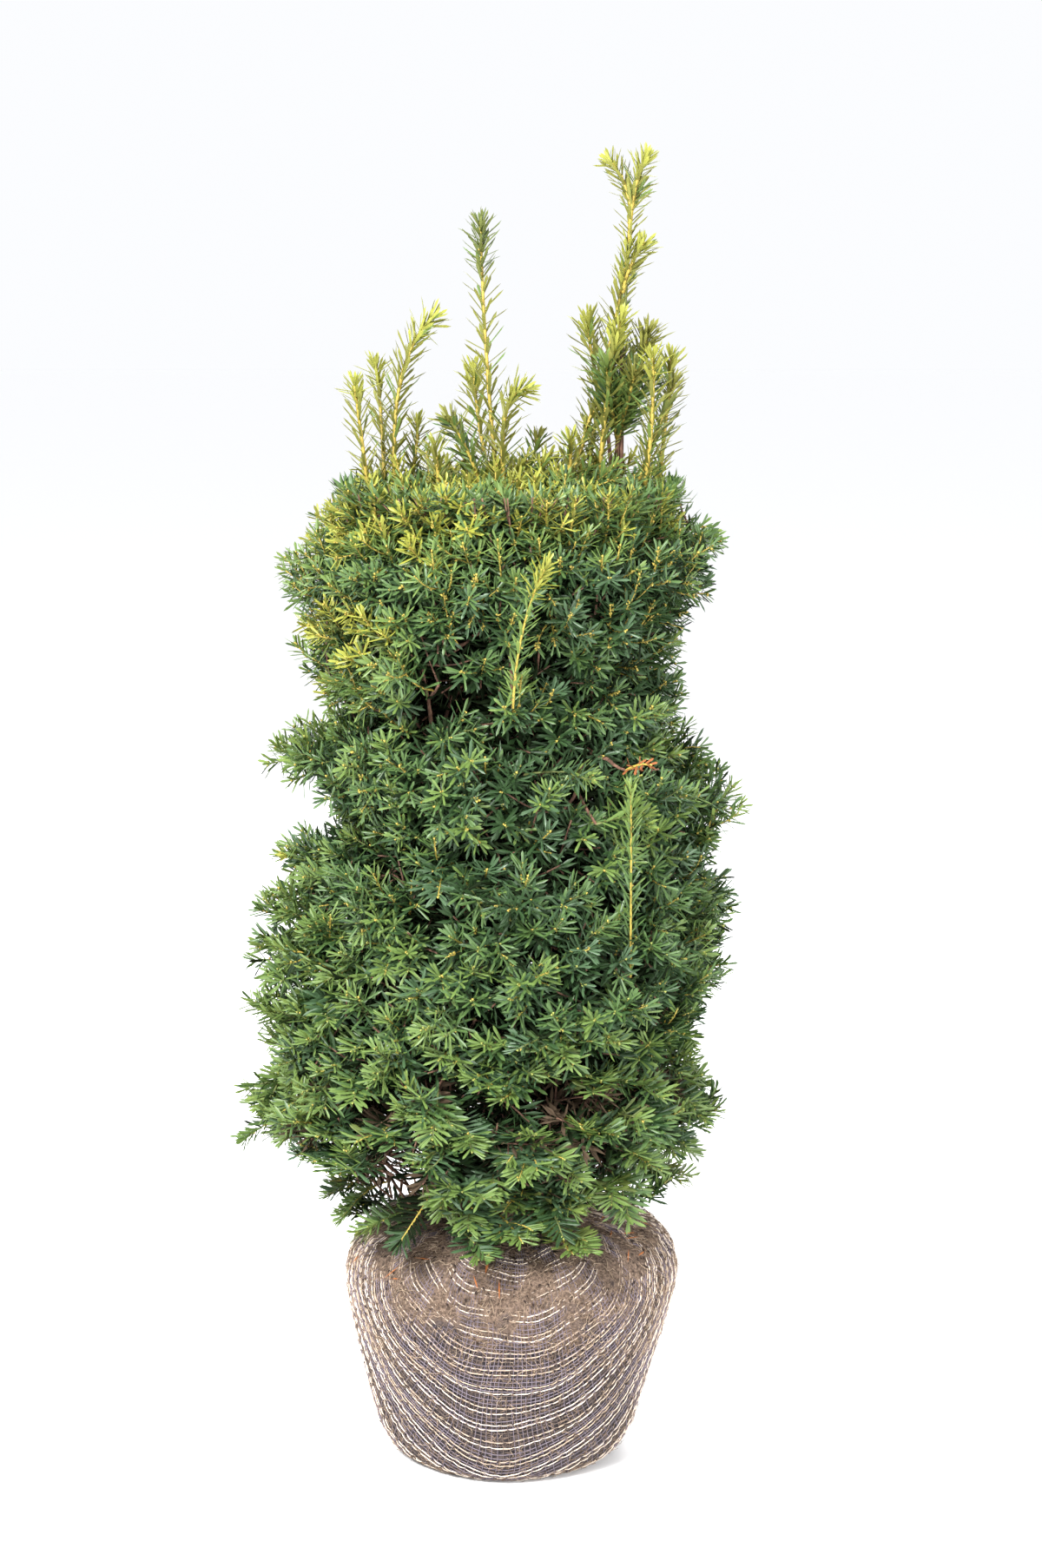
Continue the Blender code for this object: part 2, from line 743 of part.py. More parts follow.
def make_stem(name, lines, limb, foot):
    """The mass's own stem, from its limb into its core."""
    hub = SPACES[name][1]
    if limb in LEADERS and name not in TOPS:
        stations = [(foot, 0.0036, 0.0), (foot.lerp(hub, 0.55), 0.0032, 0.0), (hub, 0.0, 0.0)]
        return make_spray(name + "_stem", stations, 0.3, None)
    line = lines[limb]
    ahead = (line[-1][0] - line[-2][0]).normalized()
    start = foot + ahead * GAP
    radius = line[-1][1] * 0.97
    stations = [(start, radius, 0.0), (start + ahead * 0.004, radius, 0.0), (hub, 0.0, 0.0)]
    if name == "right_top":
        stations = [
            (start, radius, 0.0),
            (start + ahead * 0.006, radius, 0.0),
            (hub, 0.0038, 0.0),
            (RIGHT_FAN - Vector((0, 0, 0.008)), 0.0032, 0.0),
            (RIGHT_FAN, 0.0, 0.0),
        ]
    return make_spray(name + "_stem", stations, 0.3, None)


def make_mass(name, tips, lines, plant, dice):
    """Core, stem, sprays and free shoots, joined into one body cut clear of its limb."""
    limb, foot = mass_limb(name, lines)
    parts = [make_stem(name, lines, limb, foot)]
    twigs = [twig for twig in [spray_twig(name, tip, dice) for tip in tips] if twig is not None]
    shoots = [(free_line(shoot), shoot[-1]) for shoot in FREE_SHOOTS.get(name, ())]
    every = [twig[1:] for twig in twigs] + [line for line, needle in shoots]
    for index, twig in enumerate(twigs):
        others = [line for line in every if line[-1] != twig[-1]]
        parts.append(make_side_spray(f"{name}_spray_{index}", name, twig, others, dice))
    for index, (line, needle) in enumerate(shoots):
        others = [other for other in every if other[-1] != line[-1]]
        parts.append(make_free_shoot(f"{name}_shoot_{index}", name, line, needle, others, dice))
    group = bpy.data.collections.new(name + "_parts")
    bpy.context.scene.collection.children.link(group)
    for part in parts:
        bpy.context.scene.collection.objects.unlink(part)
        group.objects.link(part)
    made = make_core(name, every)
    made.name = name + "_foliage"
    join_collection(made, group)
    if limb in LEADERS and name not in TOPS:
        cut_away(made, make_limb(name + "_cutter", lines[limb], 2, GAP))
    keep_one_body(made)
    share = min(1.0, max(0.0, (SPACES[name][0].z - 0.45) / 0.42)) ** 1.5
    colour = [low + (high - low) * share for low, high in zip(LEAF_LOW, LEAF_HIGH)]
    finish(made, material(name + "_green", colour, 0.45), foot, plant)


# ---- the plant ----------------------------------------------------------------------


def main():
    """Ball, limbs and masses, all under one empty at the origin."""
    clear_scene()
    dice = random.Random(28)
    plant = bpy.data.objects.new("plant", None)
    bpy.context.scene.collection.objects.link(plant)

    ball = make_root_ball()
    finish(ball, material("jute_and_soil", JUTE, 0.95), Vector((0, 0, 0)), plant)

    lines = limb_lines()
    for name, line in lines.items():
        limb = make_limb(name, line, 4 if name == "trunk" else 2)
        if name != "trunk":
            cut_away(limb, make_limb(name + "_cutter", lines["trunk"], 4, GAP))
        keep_one_body(limb)
        finish(limb, material(name + "_bark", BARK, 0.85), line[0][0], plant)

    tips = {name: [] for name in SPACES}
    for tip in spray_tips(dice):
        tips[owner(tip - spray_heading(tip) * 0.5 * SPRAY_LENGTH)].append(tip)
    for name in SPACES:
        make_mass(name, tips[name], lines, plant, dice)


main()
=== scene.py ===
"""A young yew shrub with a netted root ball: soil, jute net, barked limbs, twigs and needles."""

import math

import bpy
import numpy as np
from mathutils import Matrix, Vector


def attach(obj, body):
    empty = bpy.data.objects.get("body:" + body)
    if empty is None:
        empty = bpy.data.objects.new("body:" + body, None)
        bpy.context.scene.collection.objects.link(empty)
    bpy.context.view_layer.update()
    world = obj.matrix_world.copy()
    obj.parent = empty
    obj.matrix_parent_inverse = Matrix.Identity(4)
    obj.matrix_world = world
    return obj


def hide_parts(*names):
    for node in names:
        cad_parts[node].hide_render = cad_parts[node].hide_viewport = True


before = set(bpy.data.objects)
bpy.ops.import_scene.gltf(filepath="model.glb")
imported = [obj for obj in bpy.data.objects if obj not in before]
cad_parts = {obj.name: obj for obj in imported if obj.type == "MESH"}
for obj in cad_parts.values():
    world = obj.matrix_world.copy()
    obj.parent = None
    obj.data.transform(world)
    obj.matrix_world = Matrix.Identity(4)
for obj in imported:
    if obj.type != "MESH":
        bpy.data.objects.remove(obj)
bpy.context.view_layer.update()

# ---- soil of the root ball ----------------------------------------------------------
# The ball is peaty soil held by the plant's own fine roots, cut round with a spade and
# squeezed by its net.  It leans a little, bulges in low lobes, and stands on a flat foot.

BALL_PROFILE = (  # height and radius
    (0.000, 0.086),
    (0.010, 0.0985),
    (0.030, 0.110),
    (0.055, 0.117),
    (0.085, 0.1255),
    (0.115, 0.1335),
    (0.142, 0.1395),
    (0.165, 0.1425),
    (0.185, 0.1375),
    (0.200, 0.126),
    (0.211, 0.1015),
    (0.217, 0.0625),
    (0.218, 0.036),
)
BALL_LEAN = 0.030  # sideways for each metre of height
BALL_OFFSET = -0.0045
SOIL_SINK = 0.0005  # the soil lies this far inside the net
SOIL_FLOOR = 0.0016  # no grain of soil lies lower
FOOT_RING = 0.030  # width of the two rings of faces on the foot's edge
FOOT_RISE = 0.002
BALL_SIDES = 72
PEAT = ((0.010, 0.008, 0.010), (0.036, 0.027, 0.029), (0.110, 0.082, 0.072))  # dark to light
CRUST = ((0.034, 0.021, 0.014), (0.116, 0.077, 0.054), (0.235, 0.165, 0.120))  # dry soil on the top


def ball_lobes(points):
    """Give a round ball its lean and its lobes."""
    turn = np.arctan2(points[:, 1], points[:, 0])
    height = points[:, 2]
    lobe = 1 + 0.016 * np.cos(2 * turn + 0.7) + 0.010 * np.cos(5 * turn + 1.9 + 22 * height)
    shaped = points.copy()
    shaped[:, 0] = points[:, 0] * lobe + BALL_OFFSET + BALL_LEAN * height
    shaped[:, 1] = points[:, 1] * lobe
    return shaped


def select_only(piece):
    """Select one piece and nothing else."""
    bpy.ops.object.select_all(action="DESELECT")
    piece.select_set(True)
    bpy.context.view_layer.objects.active = piece


def finish_modifiers(piece):
    """Apply every modifier of a piece in order."""
    select_only(piece)
    for step in list(piece.modifiers):
        bpy.ops.object.modifier_apply(modifier=step.name)


def roughen(piece, size, depth, stretch=None):
    """Push a surface in and out by a cloud pattern, which an empty's scale may stretch."""
    pattern = bpy.data.textures.new(piece.name + "_grain", "CLOUDS")
    pattern.noise_scale = size
    pattern.noise_depth = 3
    step = piece.modifiers.new("grain", "DISPLACE")
    step.texture = pattern
    step.strength = depth
    step.mid_level = 0.5
    step.texture_coords = "OBJECT" if stretch else "LOCAL"
    step.texture_coords_object = stretch


def subdivide(piece, levels):
    """Split every face of a piece and keep its shape."""
    rounding = piece.modifiers.new("rounding", "SUBSURF")
    rounding.subdivision_type = "SIMPLE"
    rounding.levels = levels
    rounding.render_levels = levels


def vertex_places(piece):
    """The places of a piece's vertices."""
    places = np.zeros(len(piece.data.vertices) * 3)
    piece.data.vertices.foreach_get("co", places)
    return places.reshape(-1, 3)


def speckle_group():
    """Three colours dealt out by noise in the piece's own space, with a height for bump."""
    group = bpy.data.node_groups.new("speckle", "ShaderNodeTree")
    ports = group.interface
    for name in ("Dark", "Middle", "Light"):
        ports.new_socket(name=name, in_out="INPUT", socket_type="NodeSocketColor")
    ports.new_socket(name="Scale", in_out="INPUT", socket_type="NodeSocketFloat")
    ports.new_socket(name="Stretch", in_out="INPUT", socket_type="NodeSocketVector")
    ports.new_socket(name="Color", in_out="OUTPUT", socket_type="NodeSocketColor")
    ports.new_socket(name="Height", in_out="OUTPUT", socket_type="NodeSocketFloat")
    nodes, links = group.nodes, group.links
    given = nodes.new("NodeGroupInput")
    result = nodes.new("NodeGroupOutput")
    place = nodes.new("ShaderNodeTexCoord")
    spread = nodes.new("ShaderNodeVectorMath")
    spread.operation = "MULTIPLY"
    links.new(place.outputs["Object"], spread.inputs[0])
    links.new(given.outputs["Stretch"], spread.inputs[1])
    noise = nodes.new("ShaderNodeTexNoise")
    noise.inputs["Detail"].default_value = 7.0
    noise.inputs["Roughness"].default_value = 0.68
    links.new(spread.outputs["Vector"], noise.inputs["Vector"])
    links.new(given.outputs["Scale"], noise.inputs["Scale"])
    colour = given.outputs["Dark"]
    for name, low, high in (("Middle", 0.36, 0.50), ("Light", 0.50, 0.66)):
        share = nodes.new("ShaderNodeMapRange")
        share.inputs["From Min"].default_value = low
        share.inputs["From Max"].default_value = high
        links.new(noise.outputs["Fac"], share.inputs["Value"])
        mix = nodes.new("ShaderNodeMix")
        mix.data_type = "RGBA"
        links.new(share.outputs["Result"], mix.inputs["Factor"])
        links.new(colour, mix.inputs["A"])
        links.new(given.outputs[name], mix.inputs["B"])
        colour = mix.outputs["Result"]
    links.new(colour, result.inputs["Color"])
    links.new(noise.outputs["Fac"], result.inputs["Height"])
    return group


SPECKLE = speckle_group()


def add_speckle(material, colours, scale, stretch=(1, 1, 1)):
    """Put the speckle effect into a material."""
    speckle = material.node_tree.nodes.new("ShaderNodeGroup")
    speckle.node_tree = SPECKLE
    for name, colour in zip(("Dark", "Middle", "Light"), colours):
        speckle.inputs[name].default_value = (*colour, 1)
    speckle.inputs["Scale"].default_value = scale
    speckle.inputs["Stretch"].default_value = stretch
    return speckle


def add_bump(material, source, height):
    """Raise a material's surface by a height."""
    relief = material.node_tree.nodes.new("ShaderNodeBump")
    relief.inputs["Distance"].default_value = height
    relief.inputs["Strength"].default_value = 0.8
    material.node_tree.links.new(source.outputs["Height"], relief.inputs["Height"])
    shader = material.node_tree.nodes["Principled BSDF"]
    material.node_tree.links.new(relief.outputs["Normal"], shader.inputs["Normal"])


def plain_finish(name, colour, roughness, gloss=0.5):
    """A finish of one colour."""
    material = bpy.data.materials.new(name)
    material.use_nodes = True
    shader = material.node_tree.nodes["Principled BSDF"]
    shader.inputs["Base Color"].default_value = (*colour, 1)
    shader.inputs["Roughness"].default_value = roughness
    shader.inputs["Specular IOR Level"].default_value = gloss
    return material


bpy.ops.object.select_all(action="DESELECT")
bpy.ops.mesh.primitive_circle_add(
    vertices=BALL_SIDES, radius=BALL_PROFILE[0][1] - SOIL_SINK, fill_type="NGON", location=(0, 0, 0)
)
soil = bpy.context.object
soil.name = "root_ball_soil"
bpy.ops.object.mode_set(mode="EDIT")
bpy.ops.mesh.select_all(action="SELECT")
bpy.ops.mesh.inset(thickness=FOOT_RING)
bpy.ops.mesh.inset(thickness=FOOT_RING)
bpy.ops.mesh.select_all(action="SELECT")
bpy.ops.mesh.extrude_region_move(TRANSFORM_OT_translate={"value": (0, 0, FOOT_RISE)})
for (low, low_radius), (high, high_radius) in zip(BALL_PROFILE, BALL_PROFILE[1:]):
    part = (high_radius - SOIL_SINK) / (low_radius - SOIL_SINK)
    rise = high - low - (FOOT_RISE + SOIL_SINK if low == 0 else 0)
    bpy.ops.mesh.extrude_region_move(TRANSFORM_OT_translate={"value": (0, 0, rise)})
    bpy.ops.transform.resize(value=(part, part, 1))
bpy.ops.mesh.select_all(action="SELECT")
bpy.ops.mesh.normals_make_consistent(inside=False)
bpy.ops.object.mode_set(mode="OBJECT")
subdivide(soil, 2)
finish_modifiers(soil)
soil.data.vertices.foreach_set("co", ball_lobes(vertex_places(soil)).ravel())
roughen(soil, 0.024, 0.0022)
roughen(soil, 0.006, 0.0016)
finish_modifiers(soil)
places = vertex_places(soil)
places[:, 2] = np.maximum(places[:, 2], SOIL_FLOOR)
soil.data.vertices.foreach_set("co", places.ravel())
soil.data.shade_smooth()
peat = plain_finish("peat", PEAT[1], 0.95)
damp = add_speckle(peat, PEAT, 260)
dry = add_speckle(peat, CRUST, 380)
place = peat.node_tree.nodes.new("ShaderNodeTexCoord")
split = peat.node_tree.nodes.new("ShaderNodeSeparateXYZ")
blot = peat.node_tree.nodes.new("ShaderNodeTexNoise")
blot.inputs["Scale"].default_value = 38.0
blot.inputs["Detail"].default_value = 5.0
lifted = peat.node_tree.nodes.new("ShaderNodeMath")
lifted.operation = "MULTIPLY_ADD"
lifted.inputs[1].default_value = 0.16
caked = peat.node_tree.nodes.new("ShaderNodeMapRange")
caked.inputs["From Min"].default_value = 0.214
caked.inputs["From Max"].default_value = 0.240
blend = peat.node_tree.nodes.new("ShaderNodeMix")
blend.data_type = "RGBA"
soil_shader = peat.node_tree.nodes["Principled BSDF"]
links = peat.node_tree.links
links.new(place.outputs["Object"], split.inputs["Vector"])
links.new(place.outputs["Object"], blot.inputs["Vector"])
links.new(blot.outputs["Fac"], lifted.inputs[0])
links.new(split.outputs["Z"], lifted.inputs[2])
links.new(lifted.outputs["Value"], caked.inputs["Value"])
links.new(caked.outputs["Result"], blend.inputs["Factor"])
links.new(damp.outputs["Color"], blend.inputs["A"])
links.new(dry.outputs["Color"], blend.inputs["B"])
links.new(blend.outputs["Result"], soil_shader.inputs["Base Color"])
add_bump(peat, dry, 0.0016)
soil.data.materials.append(peat)
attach(soil, "root")
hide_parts("root_ball")

# ---- jute net -----------------------------------------------------------------------
# The net is one square of open jute cloth, laid under the ball, drawn up round it and
# gathered at the stem.  Fine greyish threads make its squares, and every 18 mm a pair of
# thick pale threads runs through it from side to side.

NET_HALF = 0.86  # share of the true angle that the sheet keeps round each half of the ball
NET_KINK = 0.030  # the threads fold up in a shallow V at the ball's foot
NET_SEAM = math.radians(90) * NET_HALF
NET_EDGE = 0.455  # from the middle of the sheet to its drawn edge
NET_UNDER = 0.0009  # height of the sheet under the ball
NET_FLOOR = 0.0007  # no thread's middle lies lower
NET_GATHER = (0.020, 0.2185)  # radius and height of the net's ring round the stem
FINE_RADIUS = 0.00032
FINE_STEP_ACROSS = 0.0049
FINE_STEP_ALONG = 0.0042
FINE_BEND_ACROSS = 0.0080  # length of each straight bit of a thread
FINE_BEND_ALONG = 0.0082
BROWN_SHARE = 0.35
THICK_RADIUS = 0.00054
THICK_PITCH = 0.0180
THICK_APART = 0.0052  # between the two threads of a pair
THICK_START = 0.0830
FIRST_PAIR = -4
THICK_BEND = 0.0029
TAN_SHARE = 0.3
FINE_LILAC = (0.205, 0.172, 0.204)
FINE_BROWN = (0.125, 0.096, 0.082)
THICK_PALE = (0.720, 0.610, 0.500)
THICK_TAN = (0.480, 0.380, 0.290)


def new_store():
    """Arrays for many small shapes that make one piece."""
    return {"points": [], "tris": [], "quads": [], "tri_shades": [], "quad_shades": [], "count": 0}


def add_shape(store, points, tris, quads, tri_shades, quad_shades):
    """Add points and faces to a piece's arrays."""
    store["points"].append(points)
    store["tris"].append(tris + store["count"])
    store["quads"].append(quads + store["count"])
    store["tri_shades"].append(tri_shades)
    store["quad_shades"].append(quad_shades)
    store["count"] += len(points)


def make_joined(name, store, finishes, smooth):
    """Make one piece from its arrays."""
    points = np.concatenate(store["points"])
    tris = np.concatenate(store["tris"])
    quads = np.concatenate(store["quads"])
    mesh = bpy.data.meshes.new(name)
    mesh.vertices.add(len(points))
    mesh.vertices.foreach_set("co", points.astype(np.float32).ravel())
    mesh.loops.add(tris.size + quads.size)
    mesh.loops.foreach_set("vertex_index", np.concatenate([tris.ravel(), quads.ravel()]).astype(np.int32))
    starts = np.concatenate([np.arange(len(tris)) * 3, tris.size + np.arange(len(quads)) * 4])
    mesh.polygons.add(len(starts))
    mesh.polygons.foreach_set("loop_start", starts.astype(np.int32))
    shades = np.concatenate(store["tri_shades"] + store["quad_shades"])
    mesh.polygons.foreach_set("material_index", shades.astype(np.int32))
    mesh.update(calc_edges=True)
    if smooth:
        mesh.shade_smooth()
    else:
        mesh.shade_flat()
    piece = bpy.data.objects.new(name, mesh)
    bpy.context.scene.collection.objects.link(piece)
    for finish in finishes:
        mesh.materials.append(finish)
    return piece


def unit(vectors):
    """Vectors of length one."""
    return vectors / np.maximum(np.linalg.norm(vectors, axis=-1, keepdims=True), 1e-12)


def lay_tube(store, line, radii, outward, sides, shade, flatten=1.0):
    """Add a closed thread or twig that follows a line."""
    count = len(line)
    ahead = unit(np.gradient(line, axis=0))
    across = unit(np.cross(ahead, outward))
    over = np.cross(across, ahead)
    turn = math.pi / 2 + np.arange(sides) * math.tau / sides
    wide = np.cos(turn)[None, :, None]
    high = (np.sin(turn) * flatten)[None, :, None]
    ring = across[:, None] * wide + over[:, None] * high
    points = line[:, None] + ring * np.asarray(radii).reshape(-1, 1, 1)
    index = np.arange(count * sides).reshape(count, sides)
    after = np.roll(index, -1, axis=1)
    quads = np.stack([index[:-1], index[1:], after[1:], after[:-1]], axis=-1).reshape(-1, 4)
    foot, end = index[0], index[-1]
    if sides == 3:
        tris = np.array([foot, end[::-1]])
    else:
        tris = np.array([foot[[0, 1, 2]], foot[[0, 2, 3]], end[[2, 1, 0]], end[[3, 2, 0]]])
    shades = (np.full(len(tris), shade), np.full(len(quads), shade))
    add_shape(store, points.reshape(-1, 3), tris, quads, *shades)


def sheet_path():
    """Distances along the ball from the middle of its foot, with its radius and height there."""
    radius = np.array([0.0] + [row[1] for row in BALL_PROFILE] + [NET_GATHER[0]])
    height = np.array([0.0] + [row[0] for row in BALL_PROFILE] + [NET_GATHER[1]])
    height = np.maximum(height, NET_UNDER)
    run = np.concatenate([[0.0], np.cumsum(np.hypot(np.diff(radius), np.diff(height)))])
    return run, radius, height


SHEET_RUN, SHEET_RADIUS, SHEET_HEIGHT = sheet_path()


def on_ball(run, azimuth, lift):
    """Points and outward directions on the ball, by the distance along it and the azimuth."""
    reach = 0.004
    radius = np.interp(run, SHEET_RUN, SHEET_RADIUS)
    height = np.interp(run, SHEET_RUN, SHEET_HEIGHT)
    out = np.interp(run + reach, SHEET_RUN, SHEET_HEIGHT) - np.interp(run - reach, SHEET_RUN, SHEET_HEIGHT)
    up = np.interp(run - reach, SHEET_RUN, SHEET_RADIUS) - np.interp(run + reach, SHEET_RUN, SHEET_RADIUS)
    outward = unit(np.stack([np.cos(azimuth) * out, np.sin(azimuth) * out, up], axis=-1))
    flat = np.stack([np.cos(azimuth) * radius, np.sin(azimuth) * radius, height], axis=-1)
    points = ball_lobes(flat) + outward * np.asarray(lift).reshape(-1, 1)
    points[:, 2] = np.maximum(points[:, 2], NET_FLOOR)
    return points, outward


def sway(across, along, seed):
    """Slow drift of the threads, so that no two squares of the net are alike."""
    return (
        0.0016 * np.sin(along * 61 + across * 23 + seed)
        + 0.0009 * np.sin(across * 97 - along * 41 + 2.1 * seed)
        + 0.0002 * np.sin(across * 310 + along * 190 + 3.7 * seed)
    )


def sheet_to_ball(across, along, half, lift):
    """A point of the flat sheet, drawn up round the front (-1) or the back (1) of the ball."""
    drift_across = across + sway(across, along, 1.3 + half)
    drift_along = along + sway(along, across, 4.2 + half)
    lean = np.arctan2(drift_across, np.maximum(drift_along, 1e-6))
    fold = NET_KINK * np.clip(1 - (np.abs(along) - 0.11) / 0.14, 0, 1) * (np.hypot(lean, 0.12) - 0.12)
    run = np.hypot(drift_across, drift_along) + fold * np.clip((np.abs(along) - 0.05) / 0.05, 0, 1)
    azimuth = half * math.pi / 2 - half * lean / NET_HALF
    return on_ball(run, azimuth, lift)


def net_lift(across, along):
    """The net lies clear on the sides, and in places under the soil that caked on the top."""
    run = np.hypot(across, along)
    caked = np.clip((run - 0.230) / 0.05, 0, 1)
    patches = np.sin(across * 71 + 2.0) * np.sin(along * 53 + 1.0) + 0.6 * np.sin(across * 33 - along * 87)
    return 0.0006 - caked * (0.0016 + 0.0012 * patches)


def reach_across(along, widest, bend):
    """Places from seam to seam on a thread that runs across the sheet, one to each bend."""
    steps = max(3, int(2 * along * math.tan(widest) / bend))
    return np.linspace(-1, 1, steps + 1) * along * math.tan(widest)


weave = np.random.default_rng(7)
fine_net = {"along": new_store(), "across": new_store()}
thick_net = new_store()
for half in (-1, 1):
    for along in np.arange(FINE_STEP_ALONG / 2, NET_EDGE, FINE_STEP_ALONG):
        widest = min(NET_SEAM, math.acos(min(1.0, along / NET_EDGE)))
        across = reach_across(along, widest, FINE_BEND_ACROSS)
        line_along = np.full(len(across), along + weave.uniform(-0.0004, 0.0004))
        line, outward = sheet_to_ball(across, line_along, half, net_lift(across, line_along))
        shade = int(weave.random() < BROWN_SHARE)
        lay_tube(fine_net["along"], line, np.full(len(line), FINE_RADIUS), outward, 3, shade)
    for across in np.arange(-NET_EDGE, NET_EDGE, FINE_STEP_ACROSS):
        start = abs(across) / math.tan(NET_SEAM)
        end = math.sqrt(max(0.0, NET_EDGE**2 - across**2))
        if end - start < 0.01:
            continue
        steps = max(2, int((end - start) / FINE_BEND_ALONG))
        along = np.linspace(start, end, steps + 1)
        line_across = np.full(steps + 1, across + weave.uniform(-0.0005, 0.0005))
        line, outward = sheet_to_ball(line_across, along, half, net_lift(line_across, along) + 0.0002)
        shade = int(weave.random() < BROWN_SHARE)
        lay_tube(fine_net["across"], line, np.full(len(line), FINE_RADIUS), outward, 3, shade)
    pair = FIRST_PAIR
    while THICK_START + pair * THICK_PITCH < NET_EDGE - 0.02:
        for place in (-THICK_APART / 2, THICK_APART / 2):
            along = THICK_START + pair * THICK_PITCH + place + weave.uniform(-0.0005, 0.0005)
            if along < 0.004:
                continue
            widest = min(NET_SEAM, math.acos(along / NET_EDGE))
            across = reach_across(along, widest, THICK_BEND)
            line_along = along + 0.00012 * np.sin(across * 500 + pair)
            wave = across / (2 * FINE_STEP_ACROSS) * math.tau + pair * 2.0 + place * 900
            dip = np.clip(np.cos(wave) * 4 - 2.4, 0, 1)
            lift = net_lift(across, line_along) + 0.0004 - 0.0010 * dip
            line, outward = sheet_to_ball(across, line_along, half, lift)
            shade = int(weave.random() < TAN_SHARE)
            thick = THICK_RADIUS * (1 + 0.16 * np.sin(across * 900 + pair * 3)) * (1 - 0.35 * dip)
            lay_tube(thick_net, line, thick, outward, 3, shade, 0.8)
        pair += 1

fine_finishes = [
    plain_finish("jute_lilac", FINE_LILAC, 0.9, 0.2),
    plain_finish("jute_brown", FINE_BROWN, 0.9, 0.2),
]
for name, store in fine_net.items():
    piece = make_joined("net_fine_" + name, store, fine_finishes, False)
    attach(piece, "root")
thick_finishes = [
    plain_finish("jute_pale", THICK_PALE, 0.85, 0.3),
    plain_finish("jute_tan", THICK_TAN, 0.9, 0.3),
]
piece = make_joined("net_thick", thick_net, thick_finishes, False)
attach(piece, "root")

# ---- fuzz on the net ----------------------------------------------------------------
# Jute sheds: loose hairs of its fibre, with rootlets and crumbs of peat among them, stand
# off the whole net, and most of all where soil has caked on the ball's top.

FUZZ_HAIRS = 12500
HAIR_RADIUS = 0.00019
HAIR_TAPER = np.array([0.6, 1, 0.5])
HAIR_LENGTHS = (0.004, 0.014)
HIGH_SHARE = 0.62  # of the hairs that stand on the ball's upper half
HIGH_RUNS = (0.205, 0.40)  # distances along the ball
LOW_RUNS = (0.085, 0.28)
PROUD_SHARE = 0.26  # of the hairs that lift off the net at one end
PROUD_LIFTS = (0.0005, 0.0030)
FUZZ_COLOURS = ((0.275, 0.195, 0.140), (0.145, 0.096, 0.064), (0.470, 0.360, 0.255))

fuzz = new_store()
for hair in range(FUZZ_HAIRS):
    high = weave.random() < HIGH_SHARE
    run = weave.uniform(*(HIGH_RUNS if high else LOW_RUNS))
    azimuth = weave.uniform(0, math.tau)
    if high:
        tuft = math.sin(azimuth * 7 + run * 43) * math.sin(run * 71 - azimuth * 3)
        if tuft < weave.uniform(-1.4, 0.3) + 5 * (0.24 - run):
            azimuth += weave.uniform(0.2, 0.6)
    length = weave.uniform(*HAIR_LENGTHS)
    heading = weave.uniform(0, math.tau)
    share = np.linspace(-1, 1, 3)
    curl = weave.uniform(-0.35, 0.35)
    slide = length * share
    turn = heading + curl * share * 2
    radius = np.interp(run, SHEET_RUN, SHEET_RADIUS) + 0.01
    stand = weave.uniform(0.0, 0.0008)
    if weave.random() < PROUD_SHARE:
        stand = stand + weave.uniform(*PROUD_LIFTS) * (share + 1) / 2
    lift = 0.0003 + stand + 0.0004 * (1 - share**2)
    runs = run + slide * np.sin(turn) / 2
    line, outward = on_ball(runs, azimuth + slide * np.cos(turn) / 2 / radius, lift)
    shade = int(weave.choice(3, p=(0.5, 0.32, 0.18)))
    lay_tube(fuzz, line, HAIR_RADIUS * HAIR_TAPER, outward, 3, shade)
fuzz_finishes = []
for index, colour in enumerate(FUZZ_COLOURS):
    fuzz_finishes.append(plain_finish(f"jute_hair_{index}", colour, 0.95, 0.2))
piece = make_joined("net_fuzz", fuzz, fuzz_finishes, False)
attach(piece, "root")

# ---- crumbs on the net --------------------------------------------------------------
# Crumbs of peat and a few dead orange needles have fallen on the ball's top and stuck in
# the net's fibres below it.

CRUMBS = 4200
FALLEN_NEEDLES = 60
HIGH_CRUMBS = 2310  # those on the ball's top
CRUMB_COLOURS = (  # three of peat and the dead needle's
    (0.030, 0.020, 0.016),
    (0.095, 0.066, 0.048),
    (0.190, 0.140, 0.108),
    (0.360, 0.125, 0.040),
)
CRUMB_TRIS = np.array(
    [(0, 1, 2), (0, 2, 3), (0, 3, 4), (0, 4, 1), (5, 2, 1), (5, 3, 2), (5, 4, 3), (5, 1, 4)]
)


def add_tris(store, points, tris, shades):
    """Add a shape that has only triangles."""
    add_shape(store, points, tris, np.zeros((0, 4), int), shades, np.zeros(0, int))


crumbs = new_store()
for index in range(CRUMBS):
    fallen = index < FALLEN_NEEDLES
    run = weave.uniform(0.27, 0.40) if index < HIGH_CRUMBS else weave.uniform(0.09, 0.30)
    azimuth = weave.uniform(0, math.tau)
    size = weave.uniform(0.0004, 0.0013)
    middle, outward = on_ball(np.array([run]), azimuth, 0.0004 + size * 0.3)
    along = unit(np.cross(outward[0], weave.normal(0, 1, 3)))
    across = np.cross(outward[0], along) * size
    along = along * (weave.uniform(0.007, 0.010) if fallen else size * weave.uniform(1.0, 2.0))
    over = outward[0] * size * 0.6
    corners = np.array([over, along, across, -along, -across, -over])
    shade = 3 if fallen else int(weave.choice(3, p=(0.45, 0.35, 0.20)))
    add_tris(crumbs, middle + corners, CRUMB_TRIS, np.full(8, shade))
crumb_finishes = []
for index, colour in enumerate(CRUMB_COLOURS):
    crumb_finishes.append(plain_finish(f"crumb_{index}", colour, 0.95, 0.2))
piece = make_joined("soil_crumbs", crumbs, crumb_finishes, False)
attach(piece, "root")

